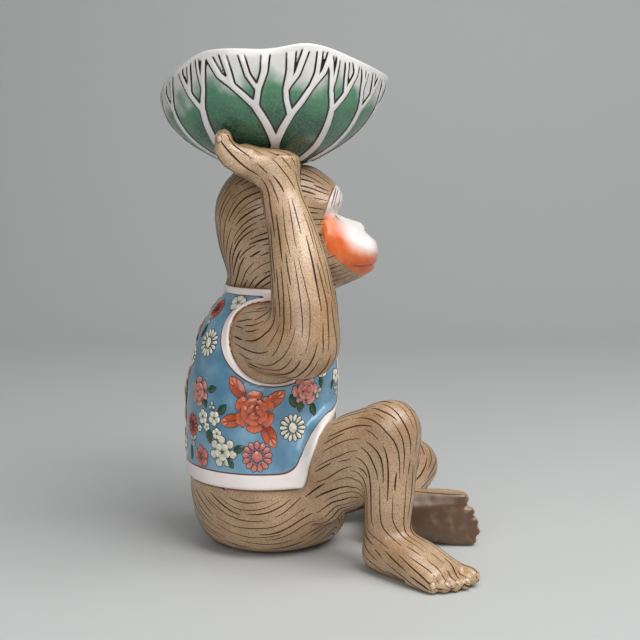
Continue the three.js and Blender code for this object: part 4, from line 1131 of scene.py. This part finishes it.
def draw_lines(name, strokes, widest, lift, slip, seed):
    """One piece with all the strokes, each tapered towards both ends and lifted a little off the skin."""
    chance = np.random.default_rng(seed)
    places, uprights, halves, edges = [], [], [], []
    for stroke in strokes:
        half = widest * chance.uniform(*BRUSH_WIDTHS)
        start = len(places)
        for i, (place, normal) in enumerate(stroke):
            share = (i + 0.2) / (len(stroke) - 0.6)
            places.append(place + normal * lift)
            uprights.append(normal)
            halves.append(half * (BRUSH_TIP + (1 - BRUSH_TIP) * math.sin(math.pi * share) ** 0.6))
        edges += [(start + i, start + i + 1) for i in range(len(stroke) - 1)]
    paths = bpy.data.meshes.new(name + " paths")
    paths.from_pydata(places, edges, [])
    store(paths, "half_width", np.array(halves))
    upright = paths.attributes.new("upright", "FLOAT_VECTOR", "POINT")
    upright.data.foreach_set("vector", np.array(uprights, np.float32).ravel())
    settings = {"Sides": BRUSH_SIDES, "Thickness": BRUSH_FLAT, "Slip": slip.material}
    made = in_scene(name, made_by(fur_line, paths, settings))
    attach(made, "root")


# No fur on the soles, on the dark sole or under the cloth. Beside the cheeks it runs a little on to the mask.
SOLE_EDGE = 1.2 * MM
DARK_SOLE = 0.8
UNDER_CLOTH = 5 * MM
NECK_EDGE = 173
CHEEK = (196, 222)
FUR_ON_MASK = 4.5
near_cloth = [cloth_tree.find_nearest(middle, UNDER_CLOTH)[0] for middle in figure.middles.tolist()]
bare = np.array([place is not None for place in near_cloth])
bare |= (figure.middles[:, 2] < SOLE_EDGE) | (sole[figure.quads[:, 0]] > DARK_SOLE)
strokes = brushed(figure, bare, bare, FIGURE_GAP, FIGURE_TRIES, seed=3)
level = head.middles[:, 2] / MM
neck = level < NECK_EDGE
on_mask = np.where((level > CHEEK[0]) & (level < CHEEK[1]), FUR_ON_MASK, 1)
past_edge = into_mask[head.quads].mean(axis=1) > on_mask
closed = neck | (head.quad_owner == face)
strokes += brushed(head, closed, neck | past_edge, HEAD_GAP, HEAD_TRIES, seed=5)
for casting in FIGURE + HEAD:
    mine = [stroke for owner, stroke in strokes if owner == casting]
    if mine:
        draw_lines(casting + "_fur_lines", mine, BRUSH_HALF_WIDTH, BRUSH_LIFT, brown_slip, 11)

# Brow wrinkles and mouth: thin strokes of iron-red enamel, brushed on the white mask by hand after the blush.
# Each is a row of places seen from the side: how far forward, and height.
BRUSHED_LINES = [
    [(44, 241), (42.1, 236.7), (40.6, 233), (39.5, 229)],
    [(45.6, 240.5), (44.1, 235.4), (43, 232), (41.9, 227.5)],
    [(47, 239.5), (45.4, 234.7), (44.2, 230), (43.4, 226.5)],
    [(48.3, 237.5), (47.8, 232.5), (47.1, 229.5), (46.6, 227.5)],
    [(70.6, 189.4), (68.5, 189.8), (65, 189.9), (61.5, 189.6), (58.5, 189.9), (56, 190.8)],
]
FACE_STEP = 1.2 * MM
FACE_HALF_WIDTH = 0.5 * MM
FACE_LIFT = 0.1 * MM
iron_red = Glaze("iron-red enamel", 0.25, 0.5)
iron_red.coat(iron_red.clouds(80, 0.35, 0.65, "7a2a1c", "94402a"))
face_strokes = []
for line in BRUSHED_LINES:
    for side in (-1, 1):
        ways = zip(*divided(line, 4 * len(line)))
        hits = [seen_from_side(head.tree, side, -forward * MM, height * MM)[0] for forward, height in ways]
        stops = [place for place in hits if place]
        stroke = []
        for start, end in zip(stops, stops[1:]):
            steps = max(1, round((end - start).length / FACE_STEP))
            stroke += [head.tree.find_nearest(start.lerp(end, step / steps))[:2] for step in range(steps)]
        if len(stroke) > 2:
            face_strokes.append(stroke)
draw_lines("face_lines", face_strokes, FACE_HALF_WIDTH, FACE_LIFT, iron_red, 7)

# Nails: small pale dots of enamel with a brown rim, one on the end of every finger and toe. They are trailed
# on the fired glaze and melted on to it with the flowers.
NAIL = (1, -2.5, 5, 2, 1.0, 0.55, 0.45)
NAIL_RIM = 0.45
NAIL_HEIGHT = 0.05
NAIL_COLOURS = ("bd9c76", "dcc3a2")
RIGHT_FOOT_POINTS = Vector((-0.68, -0.73, 0))
RIGHT_FOOT_ACROSS = Vector((0.73, -0.68, 0))
# How far behind the tip a nail's middle is, and how far off and how steeply the line starts that finds it.
TOE_NAIL = 5
LEFT_TOE_NAIL = 3
FINGER_NAIL = 4
NAIL_LINE = 40
LEFT_NAIL_LINE = 60
TOE_SLOPE = 0.7
# Right toes from the outside in: place across the foot, reach. Left toes from the table up: height, reach.
RIGHT_TOES = [(-16, 156.6), (-8.2, 161.6), (-2, 164.7), (5.3, 166.6), (14, 167.1)]
LEFT_TOES = [(4.2, 140.6), (10, 143), (17, 141.8), (23.7, 139.3), (32, 135.1)]
# Finger tips of the right hand from the outside in: x, height, and how far the nail is turned outwards.
FINGER_TIPS = [(-64.6, 276, 0.9), (-56, 277, 0.3), (-49, 275, 0), (-41.2, 269, 0)]
FINGER_END = 24
UP = Vector((0, 0, 1))
nail_rays = []
for across, reach in RIGHT_TOES:
    tip = RIGHT_FOOT_ACROSS * across + RIGHT_FOOT_POINTS * (reach - TOE_NAIL)
    towards = -UP - RIGHT_FOOT_POINTS * TOE_SLOPE
    nail_rays.append((tip - towards * NAIL_LINE, towards.normalized(), RIGHT_FOOT_POINTS))
for height, reach in LEFT_TOES:
    start = Vector((LEFT_NAIL_LINE, LEFT_TOE_NAIL - reach, height))
    nail_rays.append((start, Vector((-1, 0, 0)), Vector((0, -1, 0))))
for x, height, outwards in FINGER_TIPS:
    for side in (1, -1):
        towards = Vector((side * outwards, -1, 0)).normalized()
        start = Vector((side * x, FINGER_END, height - FINGER_NAIL)) - towards * NAIL_LINE
        nail_rays.append((start, towards, UP))
nails = Enamel(figure.tree)
for start, towards, points_to in nail_rays:
    place, normal, _, _ = figure.tree.ray_cast(start * MM, towards)
    right = UP.cross(normal).normalized()
    turn = math.atan2(-points_to.dot(right), points_to.dot(normal.cross(right)))
    nails.outlined(place, normal, turn, NAIL_HEIGHT, NAIL, *NAIL_COLOURS, NAIL_RIM)
nails.finish("nails")

# Studio: a pale seamless sheet of paper, laid over a table and bent up behind it, under four soft lamps. The
# camera stands where the photograph was taken from.
SHEET_COLOUR = "bfc1c0"
SHEET_HALF_WIDTH = 3.0
# The sheet from in front of the figure to the top behind it, with a bend between floor and wall, in metres.
SHEET_FRONT = -2.0
BEND_START = 0.9
BEND_RADIUS = 0.6
BEND_STEPS = 12
SHEET_TOP = 3.0
# Soft boxes: name, place, what it shines on, width and watts.
SOFT_BOXES = [
    ("key_soft_box", (-0.9, -0.7, 1.4), (0, 0, 0.15), 0.9, 15.5),
    ("front_soft_box", (-0.1, -1.2, 1.4), (0, -0.05, 0.12), 0.7, 6.5),
    ("top_soft_box", (-0.3, -0.25, 1.6), (-0.05, -0.05, 0.1), 1.0, 9.5),
    ("fill_soft_box", (-1.45, 0.35, 0.75), (0, 0, 0.15), 1.0, 8),
]
ROOM_LIGHT = 0.14
CAMERA_PLACE = (-0.900, -0.035, 0.270)
CAMERA_PITCH = 7.5
FOCAL_PIXELS = 1350
IMAGE_PIXELS = 640
profile = [(SHEET_FRONT, 0.0), (BEND_START, 0.0)]
for step in range(1, BEND_STEPS + 1):
    angle = math.radians(90 * step / BEND_STEPS)
    profile.append((BEND_START + BEND_RADIUS * math.sin(angle), BEND_RADIUS - BEND_RADIUS * math.cos(angle)))
profile.append((BEND_START + BEND_RADIUS, SHEET_TOP))
corners = [(x, side * SHEET_HALF_WIDTH, z) for x, z in profile for side in (1, -1)]
faces = [(2 * i, 2 * i + 1, 2 * i + 3, 2 * i + 2) for i in range(len(profile) - 1)]
sheet_mesh = bpy.data.meshes.new("studio_sheet")
sheet_mesh.from_pydata(corners, [], faces)
sheet_mesh.shade_smooth()
paper = Glaze("studio paper", 0.6, 0.0)
paper.shader["Base Color"].default_value = srgb(SHEET_COLOUR)
sheet_mesh.materials.append(paper.material)
sheet = in_scene("studio_sheet", sheet_mesh)

world = bpy.data.worlds.new("studio")
bpy.context.scene.world = world
world.use_nodes = True
background = world.node_tree.nodes["Background"].inputs
background["Color"].default_value = (1, 1, 1, 1)
background["Strength"].default_value = ROOM_LIGHT
for name, place, aim, width, power in SOFT_BOXES:
    lamp = bpy.data.lights.new(name, "AREA")
    lamp.size = width
    lamp.energy = power
    box = in_scene(name, lamp)
    box.location = place
    box.rotation_euler = (Vector(aim) - Vector(place)).to_track_quat("-Z", "Y").to_euler()

camera_data = bpy.data.cameras.new("camera")
camera_data.sensor_width = 36
camera_data.lens = camera_data.sensor_width * FOCAL_PIXELS / IMAGE_PIXELS
camera = in_scene("camera", camera_data)
camera.location = CAMERA_PLACE
camera.rotation_euler = (math.radians(90 - CAMERA_PITCH), 0, math.radians(-90))
bpy.context.scene.camera = camera
bpy.context.scene.view_settings.view_transform = "Standard"
